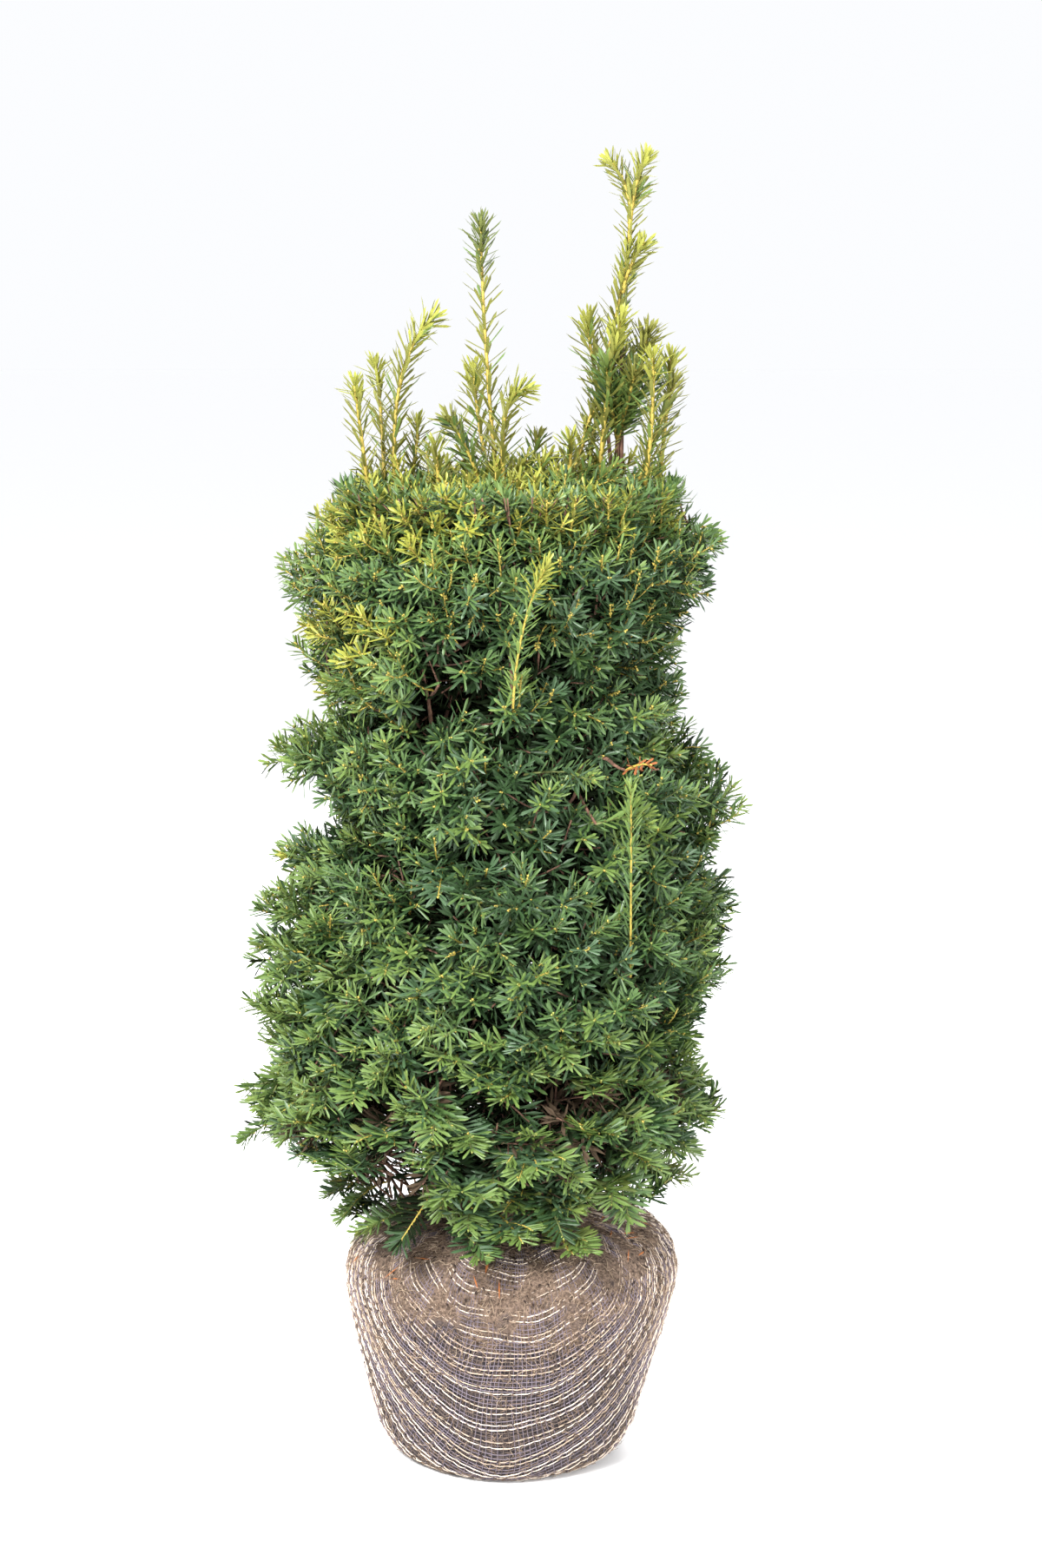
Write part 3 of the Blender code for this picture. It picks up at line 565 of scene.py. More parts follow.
# ---- bark of the stem and limbs -----------------------------------------------------
# The stem and its leaders have thin reddish brown bark that lifts in small upright flakes.
# Each limb is a bent tapering tube closed at both ends, and the stem flares at its root.

TRUNK_FOOT = 0.2183
TRUNK_TIP = Vector((-0.012, 0.002, 0.804))
TRUNK_RADIUS = 0.0130
TRUNK_TIP_RADIUS = 0.0042
ROOT_FLARE = 0.0065
FLARE_HEIGHT = 0.011
TRUNK_SWAY = 0.0045
LEADER_SPREAD = 0.060
LEADERS = {
    "left_leader": (180, 0.292, Vector((-0.072, 0.002, 0.812)), 0.0082, 0.0036),
    "right_leader": (0, 0.306, Vector((0.072, -0.002, 0.813)), 0.0088, 0.0042),
    "front_leader": (270, 0.322, Vector((0.004, -0.068, 0.810)), 0.0074, 0.0034),
    "back_leader": (90, 0.300, Vector((-0.004, 0.068, 0.810)), 0.0078, 0.0034),
}
FIRST_SIDES = ("front", "right", "back_right", "back_left", "left")
BOUGH_REACH = 0.073
BOUGH_RISE = 0.030
BOUGH_HEIGHT = 0.240
BOUGH_RADIUS = 0.0056
BOUGH_TIP_RADIUS = 0.0032
BARK_COLOURS = ((0.060, 0.030, 0.020), (0.125, 0.060, 0.036), (0.235, 0.125, 0.080))


def trunk_axis(height):
    """The stem leans left to its tip, with one slow sway."""
    share = (height - TRUNK_FOOT) / (TRUNK_TIP.z - TRUNK_FOOT)
    bend = TRUNK_SWAY * (1 - math.cos(math.tau * share)) / 2
    return Vector((TRUNK_TIP.x * share**2 + bend, TRUNK_TIP.y * share**2 - 0.6 * bend, height))


def trunk_radius(height):
    """Taper from the root flare to the tip."""
    share = (height - TRUNK_FOOT) / (TRUNK_TIP.z - TRUNK_FOOT)
    wood = TRUNK_TIP_RADIUS + (TRUNK_RADIUS - TRUNK_TIP_RADIUS) * (1 - share) ** 0.85
    return wood + ROOT_FLARE * math.exp(-(height - TRUNK_FOOT) / FLARE_HEIGHT)


def trunk_line():
    """Points and radii up the stem, close together over the flare."""
    rises = [0.0, 0.003, 0.006, 0.010, 0.015, 0.022, 0.030]
    rises += [0.030 + (TRUNK_TIP.z - TRUNK_FOOT - 0.030) * step / 90 for step in range(1, 91)]
    return [(trunk_axis(TRUNK_FOOT + rise), trunk_radius(TRUNK_FOOT + rise)) for rise in rises]


def leader_line(name, steps=80):
    """Out from the stem at the fork, then up beside it to the tip."""
    azimuth, fork, tip, foot_radius, tip_radius = LEADERS[name]
    turn = math.radians(azimuth)
    start = trunk_axis(fork)
    spread_point = Vector((LEADER_SPREAD * math.cos(turn), LEADER_SPREAD * math.sin(turn), 0))
    line = []
    for step in range(steps + 1):
        share = (step / steps) ** 1.3
        height = fork + (tip.z - fork) * share
        flat = start.lerp(spread_point, 1 - (1 - min(1.0, 2.9 * share)) ** 2)
        flat = flat.lerp(tip, max(0.0, share - 0.4) / 0.6)
        radius = tip_radius + (foot_radius - tip_radius) * (1 - share) ** 0.9
        line.append((Vector((flat.x, flat.y, height)), radius))
    return line


def bough_line(index, steps=20):
    """A short arching limb from low on the stem to the edge of its mass."""
    height = BOUGH_HEIGHT + 0.005 * ((index * 2) % 5)
    turn = math.radians(270 + 72 * index)
    start = trunk_axis(height)
    end = Vector((BOUGH_REACH * math.cos(turn), BOUGH_REACH * math.sin(turn), height))
    line = []
    for step in range(steps + 1):
        share = step / steps
        point = start.lerp(end, share)
        point.z = height + BOUGH_RISE * math.sin(math.pi / 2 * share)
        line.append((point, BOUGH_RADIUS + (BOUGH_TIP_RADIUS - BOUGH_RADIUS) * share))
    return line


def bark_limb(name, line, detail):
    """A bent tapering tube with flaking bark."""
    bpy.ops.object.select_all(action="DESELECT")
    bpy.ops.curve.primitive_bezier_curve_add()
    limb = bpy.context.object
    limb.name = name
    limb.data.splines.clear()
    limb.data.bevel_depth = 1.0
    limb.data.bevel_resolution = detail
    limb.data.use_fill_caps = True
    spline = limb.data.splines.new("POLY")
    spline.points.add(len(line) - 1)
    for point, (place, radius) in zip(spline.points, line):
        point.co = (*place, 1)
        point.radius = radius
    bpy.ops.object.convert(target="MESH")
    bpy.ops.object.mode_set(mode="EDIT")
    bpy.ops.mesh.select_all(action="SELECT")
    bpy.ops.mesh.remove_doubles(threshold=0.00001)
    bpy.ops.mesh.normals_make_consistent(inside=False)
    bpy.ops.object.mode_set(mode="OBJECT")
    subdivide(limb, 1)
    roughen(limb, 0.010, 0.0016, flake_map)
    roughen(limb, 0.0035, 0.0009, flake_map)
    finish_modifiers(limb)
    limb.data.shade_smooth()
    limb.data.materials.append(bark)
    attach(limb, "root")
    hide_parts(name.replace("bark_", ""))


bark = plain_finish("flaking_bark", BARK_COLOURS[1], 0.85)
flakes = add_speckle(bark, BARK_COLOURS, 260, (1, 1, 0.3))
bark_shader = bark.node_tree.nodes["Principled BSDF"]
bark.node_tree.links.new(flakes.outputs["Color"], bark_shader.inputs["Base Color"])
add_bump(bark, flakes, 0.0010)
flake_map = bpy.data.objects.new("flake_map", None)  # stretches the flakes upright
bpy.context.scene.collection.objects.link(flake_map)
flake_map.scale = (1, 1, 3.5)
bpy.context.view_layer.update()
limb_lines = {"trunk": trunk_line()}
limb_lines.update({name: leader_line(name) for name in LEADERS})
for index, side in enumerate(FIRST_SIDES):
    limb_lines[side + "_low_bough"] = bough_line(index)
for name, line in limb_lines.items():
    bark_limb("bark_" + name, line, 5 if name == "trunk" else 3)
bpy.data.objects.remove(flake_map)

# ---- crown: where its shoots end ----------------------------------------------------
# Twenty five masses stand in five tiers round the limbs and five more close the top.  Each
# keeps to its own space, and its shoots end on the crown's face, just over a needle's length
# apart.  Shoots stand behind them, layer by layer, in shades darkened as painted shade.

CROWN_REACH = (  # height, and how far the crown reaches left and right
    (0.205, 0.152, 0.130),
    (0.250, 0.160, 0.155),
    (0.264, 0.162, 0.156),
    (0.280, 0.206, 0.154),
    (0.300, 0.222, 0.168),
    (0.320, 0.220, 0.178),
    (0.345, 0.216, 0.178),
    (0.377, 0.220, 0.166),
    (0.410, 0.212, 0.184),
    (0.440, 0.204, 0.198),
    (0.474, 0.194, 0.196),
    (0.490, 0.202, 0.192),
    (0.520, 0.202, 0.188),
    (0.552, 0.168, 0.184),
    (0.572, 0.158, 0.186),
    (0.600, 0.176, 0.182),
    (0.620, 0.192, 0.172),
    (0.636, 0.178, 0.146),
    (0.662, 0.156, 0.156),
    (0.690, 0.178, 0.154),
    (0.712, 0.192, 0.148),
    (0.740, 0.184, 0.162),
    (0.770, 0.184, 0.180),
    (0.795, 0.182, 0.178),
    (0.810, 0.180, 0.168),
    (0.824, 0.172, 0.140),
    (0.840, 0.146, 0.138),
    (0.875, 0.130, 0.136),
)
CROWN_TOP = 0.872
CROWN_FALL = 1.3  # how fast the top falls away from its middle
DOME_RADIUS = 0.138
MOST_TIPS = 4000
CROWN_WIDEST = 0.215
FACE_HEIGHTS = (0.226, 0.858)  # of the tips on the crown's sides
DOME_SHARE = 0.10  # of the tips that are dealt to the crown's top
CORE_SINK = 0.046  # a core's outer face lies this far inside the crown's face
CORE_INNER = 0.080  # and its inner face this far from the axis
TIERS = (("skirt", 0.280), ("low", 0.400), ("middle", 0.520), ("upper", 0.640), ("shoulder", 0.752))
SECOND_SIDES = ("front_right", "right", "back", "left", "front_left")
CELL_RADIUS = 0.116  # where the middles of the masses' spaces stand
TOPS = {  # middle of its space, middle of its core, and its limb
    "left_top": (Vector((-0.102, 0.002, 0.872)), Vector((-0.092, 0.000, 0.829)), "left_leader"),
    "middle_top": (Vector((-0.008, 0.000, 0.872)), Vector((-0.010, 0.000, 0.832)), "trunk"),
    "right_top": (Vector((0.092, 0.000, 0.878)), Vector((0.088, 0.000, 0.829)), "right_leader"),
    "front_top": (Vector((0.000, -0.098, 0.862)), Vector((0.002, -0.092, 0.828)), "front_leader"),
    "back_top": (Vector((0.000, 0.098, 0.862)), Vector((-0.002, 0.092, 0.828)), "back_leader"),
}
SIDE_TIPS = (  # x and height of the sprays that stand out left and right
    (-0.1894, 0.782),
    (-0.2000, 0.622),
    (-0.1964, 0.529),
    (-0.2087, 0.495),
    (-0.2145, 0.453),
    (-0.2225, 0.403),
    (-0.2240, 0.306),
    (-0.2160, 0.292),
    (-0.1980, 0.284),
    (-0.1560, 0.226),
    (0.1760, 0.798),
    (0.1900, 0.586),
    (0.1760, 0.602),
    (0.1850, 0.500),
    (0.1892, 0.480),
    (0.1782, 0.322),
    (0.1760, 0.308),
    (0.1599, 0.264),
    (0.1480, 0.238),
)
HANGING_TIPS = (  # sprays that hang over the front of the ball
    (-0.018, -0.154, 0.224),
    (0.064, -0.152, 0.226),
    (0.044, -0.150, 0.238),
    (0.010, -0.154, 0.236),
    (-0.034, -0.146, 0.244),
    (-0.128, -0.088, 0.222),
    (-0.146, -0.036, 0.216),
    (0.100, -0.112, 0.240),
)
TOP_TIPS = (  # sprays that fill the crown's top between the loose shoots
    (0.072, 0.020, 0.866),
    (0.104, 0.016, 0.868),
    (0.128, 0.008, 0.862),
    (0.088, -0.034, 0.864),
    (0.118, -0.026, 0.860),
    (0.060, -0.016, 0.866),
    (0.034, 0.004, 0.872),
    (-0.040, 0.006, 0.872),
    (-0.070, 0.014, 0.870),
    (-0.094, -0.018, 0.866),
    (-0.122, 0.004, 0.858),
    (0.096, 0.060, 0.862),
    (0.050, 0.060, 0.866),
)
HOLLOWS = (  # x, height and radius of the dark hollows in the crown's front
    (-0.025, 0.762, 0.016),
    (-0.048, 0.694, 0.030),
    (0.034, 0.668, 0.018),
    (0.021, 0.564, 0.018),
    (-0.064, 0.501, 0.018),
    (0.045, 0.491, 0.018),
    (-0.048, 0.346, 0.018),
    (0.041, 0.363, 0.018),
    (-0.079, 0.670, 0.018),
    (-0.019, 0.387, 0.014),
    (0.080, 0.300, 0.020),
    (-0.104, 0.298, 0.026),
    (-0.066, 0.268, 0.018),
    (0.118, 0.262, 0.018),
)


def around(azimuth, radius, height):
    """The point at an azimuth in degrees, a radius and a height."""
    turn = math.radians(azimuth)
    return Vector((radius * math.cos(turn), radius * math.sin(turn), height))


def crown_reach(azimuth, height):
    """How far the crown reaches from its axis, by azimuth in radians and height."""
    table = np.array(CROWN_REACH)
    left = np.interp(height, table[:, 0], table[:, 1])
    right = np.interp(height, table[:, 0], table[:, 2])
    even = (left + right) / 2 + (right - left) / 2 * np.cos(azimuth)
    return even * (1 + 0.030 * np.sin(azimuth) ** 2 * np.sin(3 * azimuth + 11 * height))


def mass_spaces():
    """Middle of the space and middle of the core of every mass."""
    spaces = {}
    for tier, (tier_name, height) in enumerate(TIERS):
        for index, side in enumerate(SECOND_SIDES if tier % 2 else FIRST_SIDES):
            azimuth = 270 + (index + 0.5 * (tier % 2)) * 72
            outer = crown_reach(math.radians(azimuth), height) - CORE_SINK
            middle = around(azimuth, CELL_RADIUS, height)
            hub = around(azimuth, (CORE_INNER + 0.004 + outer) / 2, height)
            spaces[f"{tier_name}_{side}"] = (middle, hub)
    for name, top in TOPS.items():
        spaces[name] = top[:2]
    return spaces


SPACES = mass_spaces()
SPACE_NAMES = list(SPACES)
SPACE_MIDDLES = np.array([SPACES[name][0] for name in SPACE_NAMES])


def owner(point):
    """The mass whose space holds a point."""
    return SPACE_NAMES[int(np.argmin(np.linalg.norm(SPACE_MIDDLES - np.asarray(point), axis=1)))]


def clumps(point):
    """From 0 to 1: where the crown's face swells or sinks."""
    x, y, z = point
    swell = np.sin(88 * x + 31 * z + 1) * np.sin(97 * z + 1.7)
    roll = np.sin(83 * y - 45 * z + 2) * np.sin(61 * z + 64 * x)
    return 0.5 + 0.25 * (swell + roll)


def in_hollow(point, spare):
    """Whether a point of the crown's face lies in one of its hollows."""
    x, y, z = point
    for hollow_x, hollow_z, radius in HOLLOWS:
        if y < 0:
            gap = math.hypot(x - hollow_x, z - hollow_z)
        else:  # the back has the same hollows, lower and farther apart
            gap = math.hypot(x + hollow_x * 1.6, z - hollow_z + 0.05)
        if gap < radius + spare:
            return True
    return False


FOOT_ACROSS = (-0.160, -0.078, -0.052, 0.046, 0.068, 0.160)
FOOT_HEIGHTS = (0.286, 0.280, 0.244, 0.240, 0.268, 0.282)


def crown_foot(x, y):
    """The ragged lower edge of the crown, which leaves the ball's shoulders bare."""
    return np.interp(x, FOOT_ACROSS, FOOT_HEIGHTS) - 0.026 * max(0.0, y) / 0.15


def scatter_tips(gap, deepest, least, tries, fixed):
    """Tips on the crown's face or behind it, none nearer to another than a gap."""
    kept = np.zeros((MOST_TIPS, 3))
    count = 0
    for point in fixed:
        kept[count] = point
        count += 1
    for attempt in range(tries):
        azimuth = grow.uniform(0, math.tau)
        if grow.random() < DOME_SHARE:
            radius = DOME_RADIUS * math.sqrt(grow.random())
            height = CROWN_TOP - CROWN_FALL * radius**2 - least - deepest * grow.random()
        else:
            height = grow.uniform(*FACE_HEIGHTS)
            radius = crown_reach(azimuth, height)
            if grow.random() > radius / CROWN_WIDEST:
                continue
        point = np.array([radius * math.cos(azimuth), radius * math.sin(azimuth), height])
        if height < 0.85 and radius > DOME_RADIUS:
            depth = least + deepest * (0.65 * clumps(point) + 0.35 * grow.random())
            point[:2] *= (radius - depth) / radius
        roof = CROWN_TOP - CROWN_FALL * (point[0] ** 2 + point[1] ** 2)
        if point[2] > roof:
            point[2] = roof - 0.004
        if point[2] < crown_foot(point[0], point[1]):
            continue
        # Hollows reach through the two outer layers, and the outermost is open between clumps.
        if least < 0.030 and in_hollow(point, -0.15 * least):
            continue
        if least < 0.015 and height < 0.80 and clumps(point) < 0.20:
            continue
        room = gap * grow.uniform(0.85, 1.15) * (0.82 if point[2] > 0.80 and least < 0.015 else 1.0)
        if count and np.min(np.sum((kept[:count] - point) ** 2, axis=1)) < room**2:
            continue
        kept[count] = point
        count += 1
        if count == MOST_TIPS:
            break
    return kept[len(fixed) : count]


RISE_HEIGHTS = (0.22, 0.26, 0.32, 0.50, 0.70, 0.79, 0.86)
RISES = (-30.0, -24.0, -4.0, 12.0, 20.0, 32.0, 60.0)  # degrees above the level


def heading_at(point, stray):
    """Shoots droop a little at the crown's foot and stand up towards its top."""
    if stray > 1:  # inside, they point almost anywhere
        way = Vector(grow.normal(0, 1, 3))
        return (way + Vector((point[0], point[1], 0)).normalized() * 0.5).normalized()
    turn = math.atan2(point[1], point[0]) + grow.normal(0, stray)
    rise = math.radians(np.interp(point[2], RISE_HEIGHTS, RISES)) + grow.normal(0, stray * 0.8)
    return Vector((math.cos(turn) * math.cos(rise), math.sin(turn) * math.cos(rise), math.sin(rise)))


grow = np.random.default_rng(28)

# ---- needles and shoots -------------------------------------------------------------
# A yew needle is a flat blade with a raised rib, glossy dark green above and pale below, and
# it tapers to a point.  Needles stand by the golden angle, lean forward and crowd at the tip.
# Shoots in light carry them all round, and shaded ones in two ranks.

GOLDEN_ANGLE = math.radians(137.508)
NEEDLE_LENGTH = 0.0205
NEEDLE_WIDTH = 0.0028
NEEDLE_TAPER = 0.80  # share of its length at which a blade is widest
# By layer: the crown's face, the shoots behind it, and its dark inside.
STRAYS = (0.38, 0.50, 2.0)
SHOOT_LENGTHS = ((0.044, 0.062), (0.045, 0.062), (0.050, 0.062))
NEEDLE_SCALES = (0.95, 1.1, 1.2)
PITCHES = (0.00148, 0.0024, 0.0028)
NEEDLE_SHADES = {  # colour above, colour below, roughness, gloss
    # The darkest shade, near black, stands as much for painted shade in the crown's inside as for old
    # needles.
    "old": ((0.008, 0.014, 0.005), (0.014, 0.020, 0.008), 0.70, 0.06),
    "deep": ((0.025, 0.056, 0.018), (0.052, 0.092, 0.028), 0.46, 0.28),
    "sea": ((0.047, 0.092, 0.040), (0.084, 0.142, 0.054), 0.42, 0.40),
    "moss": ((0.088, 0.118, 0.026), (0.136, 0.158, 0.042), 0.46, 0.38),
    "mid": ((0.062, 0.116, 0.032), (0.110, 0.175, 0.044), 0.44, 0.40),
    "fresh": ((0.104, 0.165, 0.038), (0.160, 0.225, 0.054), 0.46, 0.40),
    "olive": ((0.150, 0.156, 0.026), (0.210, 0.212, 0.048), 0.48, 0.40),
    "lime": ((0.250, 0.262, 0.034), (0.305, 0.312, 0.060), 0.48, 0.40),
    "rust": ((0.240, 0.085, 0.030), (0.270, 0.110, 0.042), 0.70, 0.15),
    "dead": ((0.064, 0.044, 0.028), (0.082, 0.060, 0.040), 0.80, 0.08),
}
SHADE_NAMES = list(NEEDLE_SHADES)
# The shade that a tenth of a shoot's needles have in place of its own.
DARKER = {"deep": "old", "sea": "deep", "mid": "deep", "fresh": "mid", "olive": "fresh"}
BLADE_TRIS = np.array([(0, 2, 1), (6, 3, 5), (6, 5, 4), (6, 4, 3)])
BLADE_QUADS = np.array([(0, 2, 5, 3), (1, 4, 5, 2), (0, 3, 4, 1)])
BLADE_TRI_BELOW = np.array([0, 0, 0, 1])
BLADE_QUAD_BELOW = np.array([0, 0, 1])

needle_finishes = []
for name, (above, below, roughness, gloss) in NEEDLE_SHADES.items():
    needle_finishes.append(plain_finish("needle_" + name, above, roughness, gloss))
    needle_finishes.append(plain_finish("needle_under_" + name, below, roughness + 0.1, gloss / 2))


def lay_needles(store, roots, ahead, upper, lengths, widths, bends, shades):
    """Add closed blades, each with its rib above and its pale face below."""
    across = np.cross(upper, ahead)
    count = len(roots)
    points = np.empty((count, 7, 3))
    length = lengths[:, None]
    width = widths[:, None] / 2
    curve = upper * (bends * lengths)[:, None]
    middle = roots + ahead * length * NEEDLE_TAPER + curve * NEEDLE_TAPER**2
    points[:, 0] = roots + across * width * 0.62
    points[:, 1] = roots - across * width * 0.62
    points[:, 2] = roots + upper * width * 0.36
    points[:, 3] = middle + across * width
    points[:, 4] = middle - across * width
    points[:, 5] = middle + upper * width * 0.34
    points[:, 6] = roots + ahead * length + curve
    offsets = (np.arange(count) * 7)[:, None, None]
    tris = (BLADE_TRIS[None] + offsets).reshape(-1, 3)
    quads = (BLADE_QUADS[None] + offsets).reshape(-1, 4)
    tri_shades = (shades[:, None] * 2 + BLADE_TRI_BELOW).ravel()
    quad_shades = (shades[:, None] * 2 + BLADE_QUAD_BELOW).ravel()
    add_shape(store, points.reshape(-1, 3), tris, quads, tri_shades, quad_shades)


LOZENGE_TRIS = np.array([(0, 3, 1), (0, 2, 3), (4, 1, 3), (4, 3, 2), (0, 1, 2), (4, 2, 1)])


def lay_plain_needles(store, roots, ahead, upper, lengths, widths, bends, shades):
    """Add the plainer closed blades that stand in the crown's dark inside."""
    across = np.cross(upper, ahead)
    count = len(roots)
    points = np.empty((count, 5, 3))
    length = lengths[:, None]
    width = widths[:, None] / 2
    curve = upper * (bends * lengths)[:, None]
    middle = roots + ahead * length * 0.55 + curve * 0.3
    points[:, 0] = roots
    points[:, 1] = middle + across * width
    points[:, 2] = middle - across * width
    points[:, 3] = middle + upper * width * 0.36
    points[:, 4] = roots + ahead * length + curve
    tris = (LOZENGE_TRIS[None] + (np.arange(count) * 5)[:, None, None]).reshape(-1, 3)
    add_tris(store, points.reshape(-1, 3), tris, np.repeat(shades * 2, 6))


def bend_line(base, bend, tip, count):
    """Points on a smooth bend from base to tip."""
    share = np.linspace(0, 1, count + 1)[:, None]
    base, bend, tip = np.array(base), np.array(bend), np.array(tip)
    return base * (1 - share) ** 2 + bend * 2 * share * (1 - share) + tip * share**2


def grow_needles(
    store, line, start, pitch, length, flat, shades, spread=(76, 40), tip_share=0.3, plain=False
):
    """Set a shoot with needles by the golden angle, from a start share to its tip."""
    runs = np.concatenate([[0.0], np.cumsum(np.linalg.norm(np.diff(line, axis=0), axis=1))])
    total = runs[-1]
    places = [start * total]
    while places[-1] < total:
        near_tip = places[-1] > total * (1 - tip_share)
        places.append(places[-1] + pitch * (0.62 if near_tip else 1.0) * grow.uniform(0.8, 1.2))
    places = np.minimum(np.array(places), total)
    share = places / total
    at = np.stack([np.interp(places, runs, line[:, axis]) for axis in range(3)], axis=-1)
    ways = unit(np.gradient(line, axis=0))
    ahead = unit(np.stack([np.interp(places, runs, ways[:, axis]) for axis in range(3)], axis=-1))
    over = np.array([0.0, 0.0, 1.0]) - ahead * ahead[:, 2:3]
    upright = np.linalg.norm(over, axis=1) < 0.25
    aside = np.array([1.0, 0.3, 0.0])
    over[upright] = aside - ahead[upright] * (ahead[upright] @ aside)[:, None]
    over = unit(over)
    beside = np.cross(ahead, over)
    count = len(places)
    turn = grow.uniform(0, math.tau) + np.arange(count) * GOLDEN_ANGLE + grow.normal(0, 0.15, count)
    turn = np.mod(turn, math.tau)
    rank = np.where(np.cos(turn) > 0, math.radians(12), math.radians(168))
    shift = np.mod(rank - turn + math.pi, math.tau) - math.pi
    turn = turn + flat * shift
    radial = beside * np.cos(turn)[:, None] + over * np.sin(turn)[:, None]
    wide, close = spread
    angle = np.radians(wide + (close - wide) * share**3 + grow.normal(0, 7, count))
    out = radial * np.sin(angle)[:, None] + ahead * np.cos(angle)[:, None]
    upper = (ahead * (1 - flat) + over * flat) + grow.normal(0, 0.12, (count, 3))
    upper = unit(upper - out * np.sum(upper * out, axis=1)[:, None])
    sizes = length * (0.74 + 0.34 * np.sin(math.pi * np.clip(share * 0.92 + 0.04, 0, 1)) - 0.14 * share**4)
    sizes = sizes * grow.uniform(0.86, 1.12, count)
    width = NEEDLE_WIDTH * (1.3 if plain else 1.0)
    widths = width * grow.uniform(0.88, 1.1, count) * np.clip(sizes / 0.020, 0.8, 1.1)
    bends = grow.normal(0.05, 0.07, count)
    own, tip_own = shades
    dealt = np.where(share > 1 - tip_share, SHADE_NAMES.index(tip_own), SHADE_NAMES.index(own))
    if own in DARKER:
        dealt = np.where(grow.random(count) < 0.10, SHADE_NAMES.index(DARKER[own]), dealt)
    lay = lay_plain_needles if plain else lay_needles
    lay(store, at + radial * 0.0007, out, upper, sizes, widths, bends, dealt)
    return at, radial, ahead


# Painted light by height: paler shades low down, lit from the pale floor, and at the top, where they are
# also the young growth's own yellow.
LIGHT_HEIGHTS = (0.22, 0.30, 0.38, 0.46, 0.66, 0.78, 0.82, 0.86)
LIGHT_SHARES = (0.42, 0.38, 0.40, 0.24, 0.24, 0.14, 0.60, 1.04)


def pick_shades(point, layer):
    """Shades of a shoot and of its tip, by height, side and depth, with painted light: paler where the face
    is lit more.
    """
    height = point[2]
    if height < 0.36 and grow.random() < (0.0, 0.42, 0.42)[layer]:
        return ("dead", "dead") if grow.random() < 0.6 else ("old", "dead")
    # Painted shade: the layers behind the crown's face get dark shades, near black deep inside, and lighter
    # ones only near the top.
    if layer == 2:
        return ("deep", "mid") if height > 0.79 else ("old", "old")
    if layer == 1:
        if height > 0.80:
            return ("mid", "fresh") if height > 0.825 else ("deep", "mid")
        return ("old", "deep") if grow.random() < 0.55 else ("deep", "deep")
    light = np.interp(height, LIGHT_HEIGHTS, LIGHT_SHARES)
    # Painted light: the crown's left side gets paler shades.
    leftward = max(-point[0] / 0.2, -0.45 if height > 0.74 else 0.0)
    light += np.interp(height, (0.36, 0.42, 0.64, 0.72), (0.09, 0.22, 0.24, 0.42)) * leftward
    light += grow.normal(0, 0.14)
    if light > 1.05:
        return ("olive", "lime")
    if light > 0.78:
        return ("fresh", "lime") if height > 0.28 else ("mid", "fresh")
    if light > 0.56 and height > 0.70:
        return ("moss", "lime") if grow.random() < 0.4 else ("mid", "fresh")
    if light > 0.42:
        return ("mid", "fresh") if height > 0.40 or grow.random() < 0.6 else ("moss", "fresh")
    if light > 0.26:
        return ("sea", "fresh") if grow.random() < 0.5 or height < 0.40 else ("deep", "mid")
    if light > 0.12:
        return ("sea", "mid") if grow.random() < 0.4 else ("deep", "mid")
    return ("deep", "sea") if grow.random() < 0.5 else ("deep", "deep")


fixed_tips = []
for x, height in SIDE_TIPS:
    fixed_tips.append((x, grow.uniform(-0.02, 0.02), height))
fixed_tips += list(HANGING_TIPS) + list(TOP_TIPS)
side_companions = []
for x, y, height in fixed_tips[: len(SIDE_TIPS)]:
    for companion in range(3):
        lateral = grow.uniform(0.016, 0.034) * grow.choice((-1, 1))
        inward = abs(x) - grow.uniform(0.010, 0.020)
        side_companions.append((math.copysign(inward, x), y + lateral, height + grow.uniform(-0.014, 0.014)))
fixed_tips += side_companions
outer_tips = scatter_tips(0.0288, 0.028, 0.003, 30000, fixed_tips)
outer_tips = np.concatenate([np.array(fixed_tips), outer_tips])
inner_tips = scatter_tips(0.0250, 0.016, 0.024, 26000, [])
deep_tips = scatter_tips(0.0240, 0.026, 0.044, 30000, [])
core_tips = scatter_tips(0.0280, 0.050, 0.070, 24000, [])

green_twigs = new_store()
brown_twigs = new_store()
buds = new_store()
shoots = {name: [] for name in SPACES}


def part_of(mass):
    """The piece that holds a mass's needles."""
    if mass in TOPS:
        return "top"
    tier, side = mass.split("_", 1)
    square = tier in ("skirt", "middle", "shoulder")  # tiers with a mass right in front
    front = side in ("front", "left", "right") if square else side.startswith("front")
    return tier + ("_front" if front else "_back")


needle_stores = {}
for mass in SPACES:
    needle_stores.setdefault(part_of(mass), new_store())


BUD_TRIS = np.array([(0, 1, 2), (0, 2, 3), (0, 3, 1), (4, 2, 1), (4, 3, 2), (4, 1, 3)])


def add_bud(place, ahead, size, shade):
    """One round bud, set on the shoot by its base."""
    ahead = unit(np.asarray(ahead, float))
    side = unit(np.cross(ahead, (0.3, 0.5, 0.8)))
    other = np.cross(ahead, side)
    turns = np.arange(3) * math.tau / 3
    ring = side * np.cos(turns)[:, None] + other * np.sin(turns)[:, None]
    middle = place + ahead * size * 0.55
    points = np.concatenate([[place + ahead * size * 1.25], middle + ring * size * 0.55, [place]])
    add_tris(buds, points, BUD_TRIS, np.full(6, shade))


def lay_stem(store, line, thick, thin, shade, sides=3, outward=(0.13, 0.21, 0.97)):
    """The round stem of a shoot or twig, from a thick foot to a thin end."""
    outward = np.broadcast_to(np.array(outward), line.shape)
    lay_tube(store, line, np.linspace(thick, thin, len(line)), outward, sides, shade)


def add_side_bud(place, at, radial, ahead, lift, size, shade):
    """A bud between the needles of a shoot, leaning forward."""
    add_bud(at[place] + radial[place] * lift, radial[place] + ahead[place], size, shade)


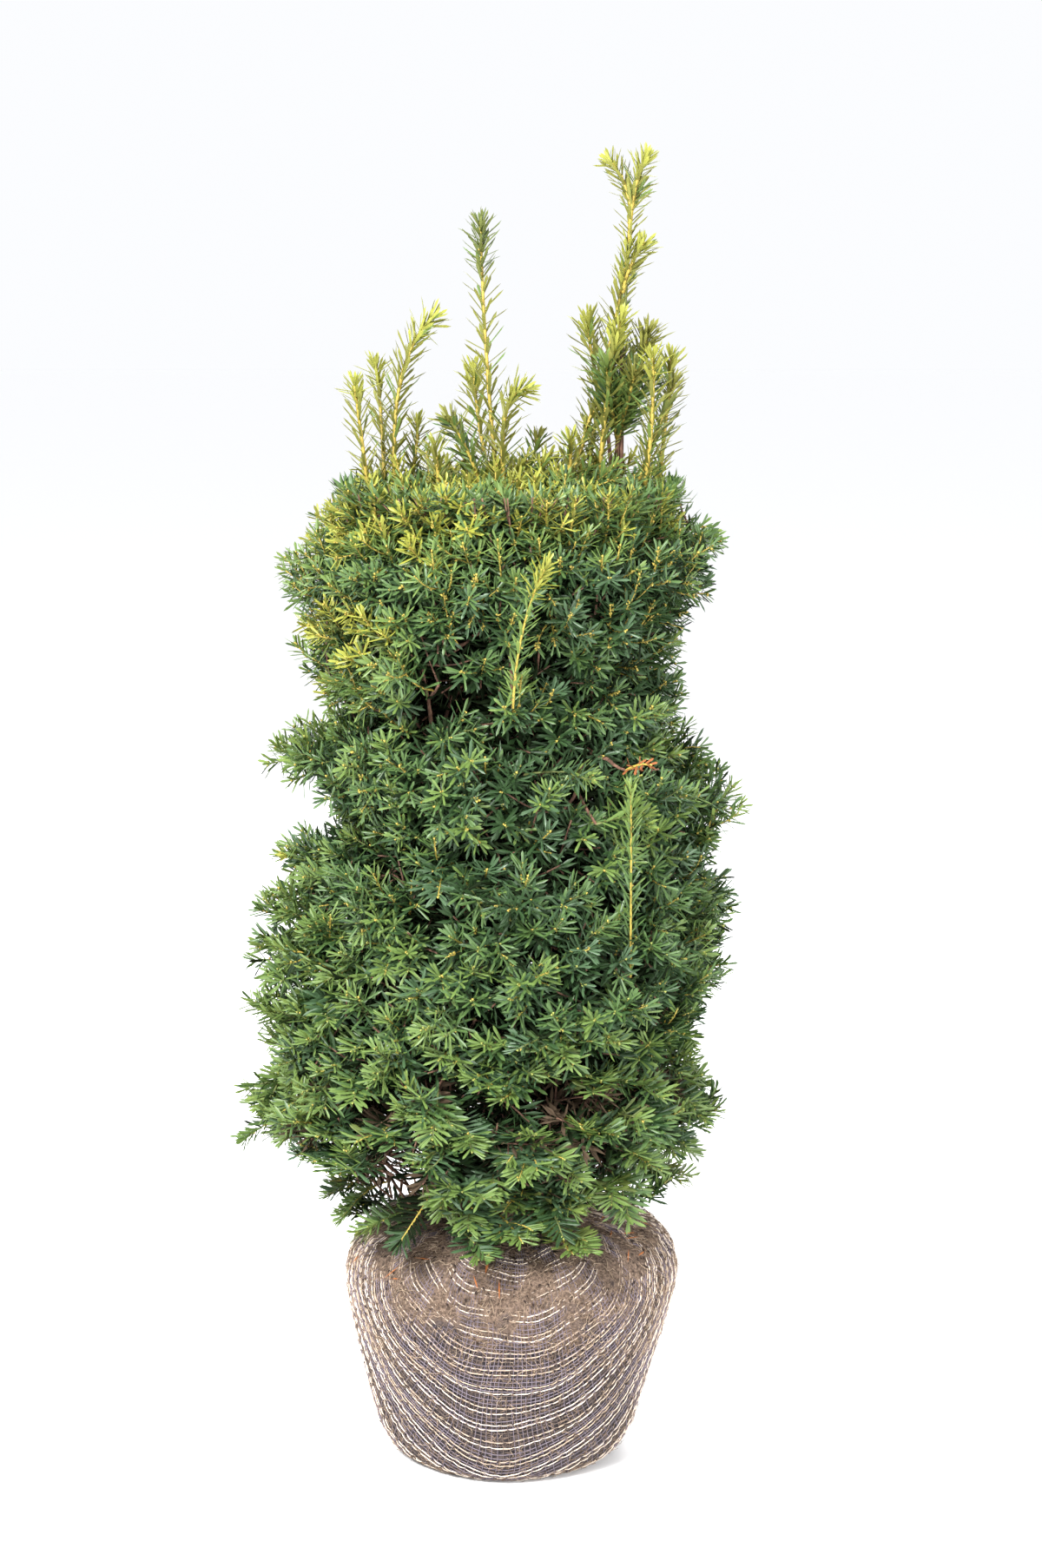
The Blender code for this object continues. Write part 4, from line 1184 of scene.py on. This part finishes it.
def stud_buds(at, radial, ahead, height, share):
    """Buds sit between the needles, golden where the crown gets light."""
    many = np.interp(height, (0.25, 0.50, 0.66, 0.74, 0.84), (4, 6, 8, 13, 9)) * share
    for index in range(min(grow.poisson(many), len(at) - 6)):
        place = len(at) - 2 - int((len(at) - 5) * grow.random() ** 1.6)
        shade = int(height < 0.66 and grow.random() < 0.6)
        add_side_bud(place, at, radial, ahead, 0.0006, grow.uniform(0.0020, 0.0031), shade)


def grow_shoot(tip, layer):
    """One leafy shoot of the crown, from its foot on older wood to its tip."""
    heading = heading_at(tip, STRAYS[layer])
    length = grow.uniform(*SHOOT_LENGTHS[layer])
    tip = Vector(tip)
    foot = tip - heading * length
    if layer == 2 and (foot.z > 0.82 or foot.xy.length > tip.xy.length - 0.01):
        rise = 0.8 if tip.z > 0.76 else grow.uniform(-0.5, 0.5)
        heading = (Vector((tip.x, tip.y, 0)).normalized() * 0.6 + Vector((0, 0, rise))).normalized()
        foot = tip - heading * length
    level = Vector((heading.x, heading.y, heading.z * 0.3))
    bend = foot + level * length * 0.55 + Vector(grow.normal(0, 0.004, 3))
    line = bend_line(foot, bend, tip, 6 if layer == 0 else 3)
    mass = owner(foot)
    store = needle_stores[part_of(mass)]
    flat = np.interp(tip.z, (0.22, 0.34, 0.52, 0.80), (0.78, 0.45, 0.18, 0.05)) + grow.normal(0, 0.15)
    flat = float(np.clip(flat, 0, 0.95))
    shades = pick_shades(tip, layer)
    size = NEEDLE_LENGTH * NEEDLE_SCALES[layer] * np.interp(tip.z, (0.25, 0.6, 0.86), (1.08, 1.0, 0.92))
    shoots[mass].append(foot)
    if layer:
        grow_needles(store, line, 0.12, PITCHES[layer], size, flat, shades, plain=True)
        lay_stem(brown_twigs, line, 0.0012, 0.0008, 0)
        return
    at, radial, ahead = grow_needles(store, line, 0.12, PITCHES[0], size, flat, shades)
    yellow = int(tip.z > 0.66 or grow.random() < 0.4)
    lay_stem(green_twigs, line, 0.00125, 0.0007, yellow)
    add_bud(line[-1], ahead[-1], 0.0027, 1 if tip.z < 0.5 else 0)
    stud_buds(at, radial, ahead, tip.z, 0.7)
    side = heading.cross(Vector((0, 0, 1)))
    if side.length < 0.3:
        side = heading.cross(Vector((1, 0, 0)))
    side.normalize()
    over = side.cross(heading)
    turn = grow.uniform(0, math.tau)
    for index in range(int(grow.integers(2, 4))):
        turn += math.radians(grow.uniform(110, 170))
        way = side * math.cos(turn) + over * math.sin(turn) * (1 - flat * 0.8)
        share = grow.uniform(0.30, 0.72)
        base = Vector(line[int(share * 6)])
        reach = grow.uniform(0.020, 0.032) * (1.15 - 0.45 * share)
        bend = base + (heading * 0.5 + way * 0.85) * reach * 0.55
        end = base + (heading * 0.85 + way * 0.65) * reach
        branch = bend_line(base, bend, end, 3)
        own = shades if grow.random() < 0.7 else pick_shades(end, 0)
        at, radial, ahead = grow_needles(store, branch, 0.10, 0.00150, size * 0.9, flat, own)
        lay_stem(green_twigs, branch, 0.0009, 0.0006, yellow)
        add_bud(branch[-1], ahead[-1], 0.0019, 1 if tip.z < 0.5 else 0)
        stud_buds(at, radial, ahead, tip.z, 0.3)


for layer, tips in enumerate((outer_tips, inner_tips, np.concatenate([deep_tips, core_tips]))):
    for tip in tips:
        grow_shoot(tip, layer)

# ---- loose shoots -------------------------------------------------------------------
# The year's strongest shoots outgrow the clipped crown: long, pale, yellow stems with
# short needles that point up, and a tuft of fresh needles round each tip.

RIGHT_FAN = (0.090, 0.0, 0.884)  # bare wood up to here, then the shoots fan out
UPWARD = (0.3, 0.9, 0.3)  # sets how the stems' sides are turned
PALE = ("olive", "lime")
OLIVE = ("olive", "moss")
SUNNY = ("fresh", "olive")
MOSSY = ("moss", "olive")
SHADY = ("mid", "fresh")
# A row holds the shoot's foot, bend and tip, the length and pitch of its needles, its shades
# and the length of its tuft.
LEFT_SHOOTS = (
    ((-0.118, -0.020, 0.845), (-0.124, -0.028, 0.900), (-0.128, -0.030, 0.930), 0.018, 0.0032, PALE, 0.014),
    ((-0.106, 0.024, 0.845), (-0.108, 0.032, 0.900), (-0.113, 0.036, 0.944), 0.018, 0.0030, PALE, 0.018),
    ((-0.096, 0.000, 0.845), (-0.102, 0.004, 0.950), (-0.064, 0.012, 0.984), 0.020, 0.0024, PALE, 0.024),
    ((-0.084, 0.020, 0.845), (-0.078, 0.026, 0.875), (-0.078, 0.030, 0.896), 0.016, 0.0026, PALE, 0.012),
    ((-0.060, -0.030, 0.840), (-0.058, -0.034, 0.860), (-0.062, -0.036, 0.880), 0.018, 0.0024, PALE, 0.014),
)
MIDDLE_SHOOTS = (
    ((-0.010, 0.000, 0.840), (-0.022, 0.004, 0.960), (-0.024, -0.004, 1.062), 0.019, 0.0044, OLIVE, 0.040),
    ((-0.022, -0.022, 0.840), (-0.034, -0.030, 0.880), (-0.050, -0.034, 0.902), 0.020, 0.0022, SUNNY, 0.020),
    ((-0.014, 0.024, 0.840), (-0.030, 0.030, 0.900), (-0.030, 0.034, 0.940), 0.020, 0.0024, PALE, 0.024),
    ((-0.004, -0.018, 0.840), (-0.012, -0.026, 0.920), (0.012, -0.030, 0.926), 0.020, 0.0023, PALE, 0.022),
    ((0.008, 0.018, 0.840), (0.020, 0.024, 0.862), (0.024, 0.028, 0.884), 0.017, 0.0024, SUNNY, 0.012),
)
RIGHT_SHOOTS = (
    ((0.050, 0.000, 0.845), (0.088, 0.006, 0.960), (0.099, 0.000, 1.045), 0.019, 0.0024, PALE, 0.000),
    ((0.099, 0.000, 1.045), (0.100, -0.002, 1.090), (0.112, -0.006, 1.114), 0.018, 0.0026, PALE, 0.022),
    ((0.100, 0.000, 1.074), (0.096, 0.006, 1.098), (0.083, 0.010, 1.112), 0.015, 0.0020, PALE, 0.012),
    ((0.101, 0.000, 1.072), (0.104, 0.008, 1.084), (0.110, 0.012, 1.092), 0.014, 0.0018, SUNNY, 0.010),
    ((0.094, 0.000, 1.004), (0.098, -0.006, 1.028), (0.111, -0.008, 1.044), 0.018, 0.0020, PALE, 0.014),
    ((0.080, 0.010, 0.915), (0.066, 0.016, 0.950), (0.066, 0.020, 0.982), 0.020, 0.0024, PALE, 0.020),
    ((0.074, -0.012, 0.845), (0.080, -0.018, 0.930), (0.092, -0.022, 0.982), 0.021, 0.0024, PALE, 0.016),
    ((0.112, -0.024, 0.845), (0.120, -0.030, 0.900), (0.118, -0.034, 0.952), 0.020, 0.0028, PALE, 0.014),
    ((0.066, 0.022, 0.845), (0.070, 0.028, 0.890), (0.078, 0.032, 0.926), 0.019, 0.0028, MOSSY, 0.012),
    (RIGHT_FAN, (0.103, -0.008, 0.935), (0.115, -0.012, 0.972), 0.022, 0.0018, MOSSY, 0.020),
    (RIGHT_FAN, (0.094, 0.016, 0.925), (0.096, 0.022, 0.952), 0.022, 0.0018, SUNNY, 0.014),
    (RIGHT_FAN, (0.082, -0.014, 0.920), (0.080, -0.020, 0.946), 0.022, 0.0018, SHADY, 0.014),
    (RIGHT_FAN, (0.108, 0.008, 0.915), (0.120, 0.010, 0.934), 0.021, 0.0018, SHADY, 0.014),
    (RIGHT_FAN, (0.098, -0.016, 0.915), (0.104, -0.026, 0.940), 0.022, 0.0018, SUNNY, 0.014),
    (RIGHT_FAN, (0.090, -0.006, 0.910), (0.090, -0.016, 0.926), 0.021, 0.0018, SHADY, 0.012),
    ((0.108, -0.010, 0.850), (0.124, -0.012, 0.895), (0.137, -0.010, 0.930), 0.018, 0.0028, MOSSY, 0.014),
    ((0.126, 0.022, 0.850), (0.133, 0.028, 0.900), (0.136, 0.032, 0.950), 0.018, 0.0026, PALE, 0.020),
    ((0.046, -0.026, 0.845), (0.052, -0.032, 0.865), (0.050, -0.036, 0.886), 0.018, 0.0024, PALE, 0.014),
)
LOW_SHOOTS = (  # each with its mass first
    ("shoulder_front", (0.003, -0.160, 0.679), (0.006, -0.178, 0.751), (0.030, -0.184, 0.796),
     0.015, 0.0034, ("fresh", "lime"), 0.030),
    ("middle_front", (0.0985, -0.140, 0.455), (0.098, -0.164, 0.550), (0.0975, -0.158, 0.614),
     0.016, 0.0038, SHADY, 0.010),
    ("upper_front_right", (0.094, -0.142, 0.626), (0.102, -0.154, 0.634), (0.112, -0.162, 0.634),
     0.010, 0.0032, ("rust", "rust"), 0.000),
    ("skirt_left", (-0.150, -0.020, 0.318), (-0.185, -0.022, 0.318), (-0.228, -0.024, 0.286),
     0.019, 0.0021, ("deep", "mid"), 0.014),
    ("skirt_front", (-0.062, -0.090, 0.262), (-0.078, -0.116, 0.244), (-0.092, -0.124, 0.224),
     0.022, 0.0022, ("old", "deep"), 0.010),
)


def grow_loose(mass, foot, bend, tip, size, pitch, shades, tuft):
    """One loose shoot: needles held close along the stem, and a tuft at its tip."""
    line = bend_line(foot, bend, tip, 14)
    hanging = mass == "skirt_front"
    upright = mass.endswith("_top") or mass.startswith(("shoulder", "middle"))
    flat = 0.8 if hanging else (0.0 if upright else 0.4)
    spread = (66, 46) if hanging or not upright else (50, 34)
    pitch = pitch * 0.58 if upright else pitch * 0.75
    size = size * 1.14 if upright else size
    store = needle_stores[part_of(mass)]
    at, radial, ahead = grow_needles(store, line, 0.04, pitch, size, flat, shades, spread, 0.22)
    thick, thin = (0.0020, 0.0011) if mass in TOPS else (0.0011, 0.0007)
    lay_stem(green_twigs, line, thick, thin, 1, 4, UPWARD)
    if tuft:
        back = line[-1] - unit(line[-1] - line[-2]) * tuft
        tip_line = bend_line(back, (back + line[-1]) / 2, line[-1], 3)
        own = (shades[1], shades[1])
        grow_needles(store, tip_line, 0.0, 0.0016, size * 0.95, flat * 0.6, own, (66, 28), 0.4)
    add_bud(line[-1], ahead[-1], 0.0024, 0)
    for bud in range(int(len(at) * 0.05)):
        place = int(grow.integers(2, len(at) - 2))
        add_side_bud(place, at, radial, ahead, 0.001, 0.0022, 0)
    if foot != RIGHT_FAN:
        shoots[mass].append(Vector(line[0]))


for loose in LEFT_SHOOTS:
    grow_loose("left_top", *loose)
for loose in MIDDLE_SHOOTS:
    grow_loose("middle_top", *loose)
for loose in RIGHT_SHOOTS:
    grow_loose("right_top", *loose)
for loose in LOW_SHOOTS:
    grow_loose(*loose)
fan_wood = bend_line((0.092, 0.0, 0.835), (0.094, 0.0, 0.870), (0.094, 0.002, 0.926), 8)
lay_stem(brown_twigs, fan_wood, 0.0023, 0.0017, 0, 4, UPWARD)
shoots["right_top"].append(Vector(fan_wood[0]))

# ---- twigs --------------------------------------------------------------------------
# Older wood joins the leafy shoots: from its limb a stem runs to the heart of each mass,
# forks there, and forks again to every shoot's foot.  Near the top its last forks are green.

TWIG_GROUP = 6  # shoots to one fork
GREEN_ABOVE = 0.765  # height of the lowest green fork


def line_at_height(line, height):
    """The point of a limb at a height."""
    for (low, low_radius), (high, high_radius) in zip(line, line[1:]):
        if height <= high.z:
            return low.lerp(high, (height - low.z) / (high.z - low.z))
    return line[-1][0]


def mass_foot(mass):
    """Where a mass's stem leaves its limb."""
    hub = SPACES[mass][1]
    if mass in TOPS:
        return limb_lines[TOPS[mass][2]][-1][0]
    if mass.startswith("skirt"):
        return limb_lines[mass.replace("skirt_", "") + "_low_bough"][-1][0]
    height = hub.z - 0.034
    limb = min(LEADERS, key=lambda name: (line_at_height(limb_lines[name], height) - hub).length)
    return line_at_height(limb_lines[limb], height)


def lay_twig(store, start, end, thick, thin, lift):
    """One bent twig between two points."""
    middle = (Vector(start) + Vector(end)) / 2 + Vector((0, 0, lift))
    lay_stem(store, bend_line(start, middle, end, 3), thick, thin, 0)


for mass, feet in shoots.items():
    hub = SPACES[mass][1]
    lay_twig(brown_twigs, mass_foot(mass), hub, 0.0036, 0.0030, -0.004)
    places = np.array([list(foot) for foot in feet])
    forks = [places[int(np.argmax(np.linalg.norm(places - np.array(hub), axis=1)))]]
    while len(forks) < max(2, len(places) // TWIG_GROUP):
        spare = np.min([np.linalg.norm(places - fork, axis=1) for fork in forks], axis=0)
        forks.append(places[int(np.argmax(spare))])
    group_of = np.argmin([np.linalg.norm(places - fork, axis=1) for fork in forks], axis=0)
    for index in range(len(forks)):
        members = places[group_of == index]
        if len(members):
            fork = Vector(members.mean(axis=0)).lerp(hub, 0.35)
            lay_twig(brown_twigs, hub, fork, 0.0027, 0.0018, -0.005)
            for foot in members:
                store = green_twigs if foot[2] > GREEN_ABOVE else brown_twigs
                lay_twig(store, fork, foot, 0.0016, 0.0012, -0.003)

# ---- leaves, buds and twigs as pieces -----------------------------------------------
# The needles of each tier are a front piece and a back piece, and those of the top are one.
# The young shoots, the buds and the older twigs are one joined piece each.

for tier, store in needle_stores.items():
    piece = make_joined("needles_" + tier, store, needle_finishes, False)
    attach(piece, "root")
    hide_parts(*[mass + "_foliage" for mass in SPACES if part_of(mass) == tier])
shoot_finishes = [
    plain_finish("green_shoot", (0.110, 0.130, 0.032), 0.6),
    plain_finish("yellow_shoot", (0.400, 0.300, 0.050), 0.6),
]
piece = make_joined("green_shoots", green_twigs, shoot_finishes, True)
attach(piece, "root")
bud_finishes = [
    plain_finish("golden_bud", (0.430, 0.330, 0.060), 0.5),
    plain_finish("green_bud", (0.270, 0.290, 0.060), 0.5),
]
piece = make_joined("buds", buds, bud_finishes, True)
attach(piece, "root")
piece = make_joined("brown_twigs", brown_twigs, [bark], True)
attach(piece, "root")

# ---- floor, light and camera --------------------------------------------------------
# The plant stands on a plain pale floor in soft, even studio light.  The camera stands
# upright and looks a little down at it.

CAMERA_PLACE = (0.0095, -2.555, 1.021)
CAMERA_PITCH = 9.55  # degrees below the level
LENS = 69.8  # millimetres, on a sensor of 36

bpy.ops.object.select_all(action="DESELECT")
bpy.ops.mesh.primitive_plane_add(size=60, location=(0, 0, 0))
floor = bpy.context.object
floor.name = "floor"
floor.data.materials.append(plain_finish("pale_floor", (0.999, 0.999, 0.999), 0.9))

world = bpy.data.worlds.new("studio")
world.use_nodes = True
world.node_tree.nodes["Background"].inputs["Color"].default_value = (0.97, 0.98, 1.0, 1)
world.node_tree.nodes["Background"].inputs["Strength"].default_value = 1.0
bpy.context.scene.world = world


def soft_light(name, place, size, power, target):
    """A square soft light that faces the plant."""
    bpy.ops.object.light_add(type="AREA", location=place)
    light = bpy.context.object
    light.name = name
    light.data.size = size
    light.data.energy = power
    light.rotation_euler = (Vector(target) - Vector(place)).to_track_quat("-Z", "Y").to_euler()


soft_light("key", (-1.2, -2.2, 2.5), 0.9, 230, (0, 0, 0.55))
soft_light("fill", (1.9, -1.9, 1.2), 1.4, 60, (0, 0, 0.5))
soft_light("back", (0.6, 2.4, 2.4), 1.6, 60, (0, 0, 0.5))

bpy.ops.object.camera_add(location=CAMERA_PLACE, rotation=(math.radians(90 - CAMERA_PITCH), 0, 0))
camera = bpy.context.object
camera.data.lens = LENS
camera.data.sensor_width = 36
bpy.context.scene.camera = camera
bpy.context.scene.view_settings.view_transform = "Standard"
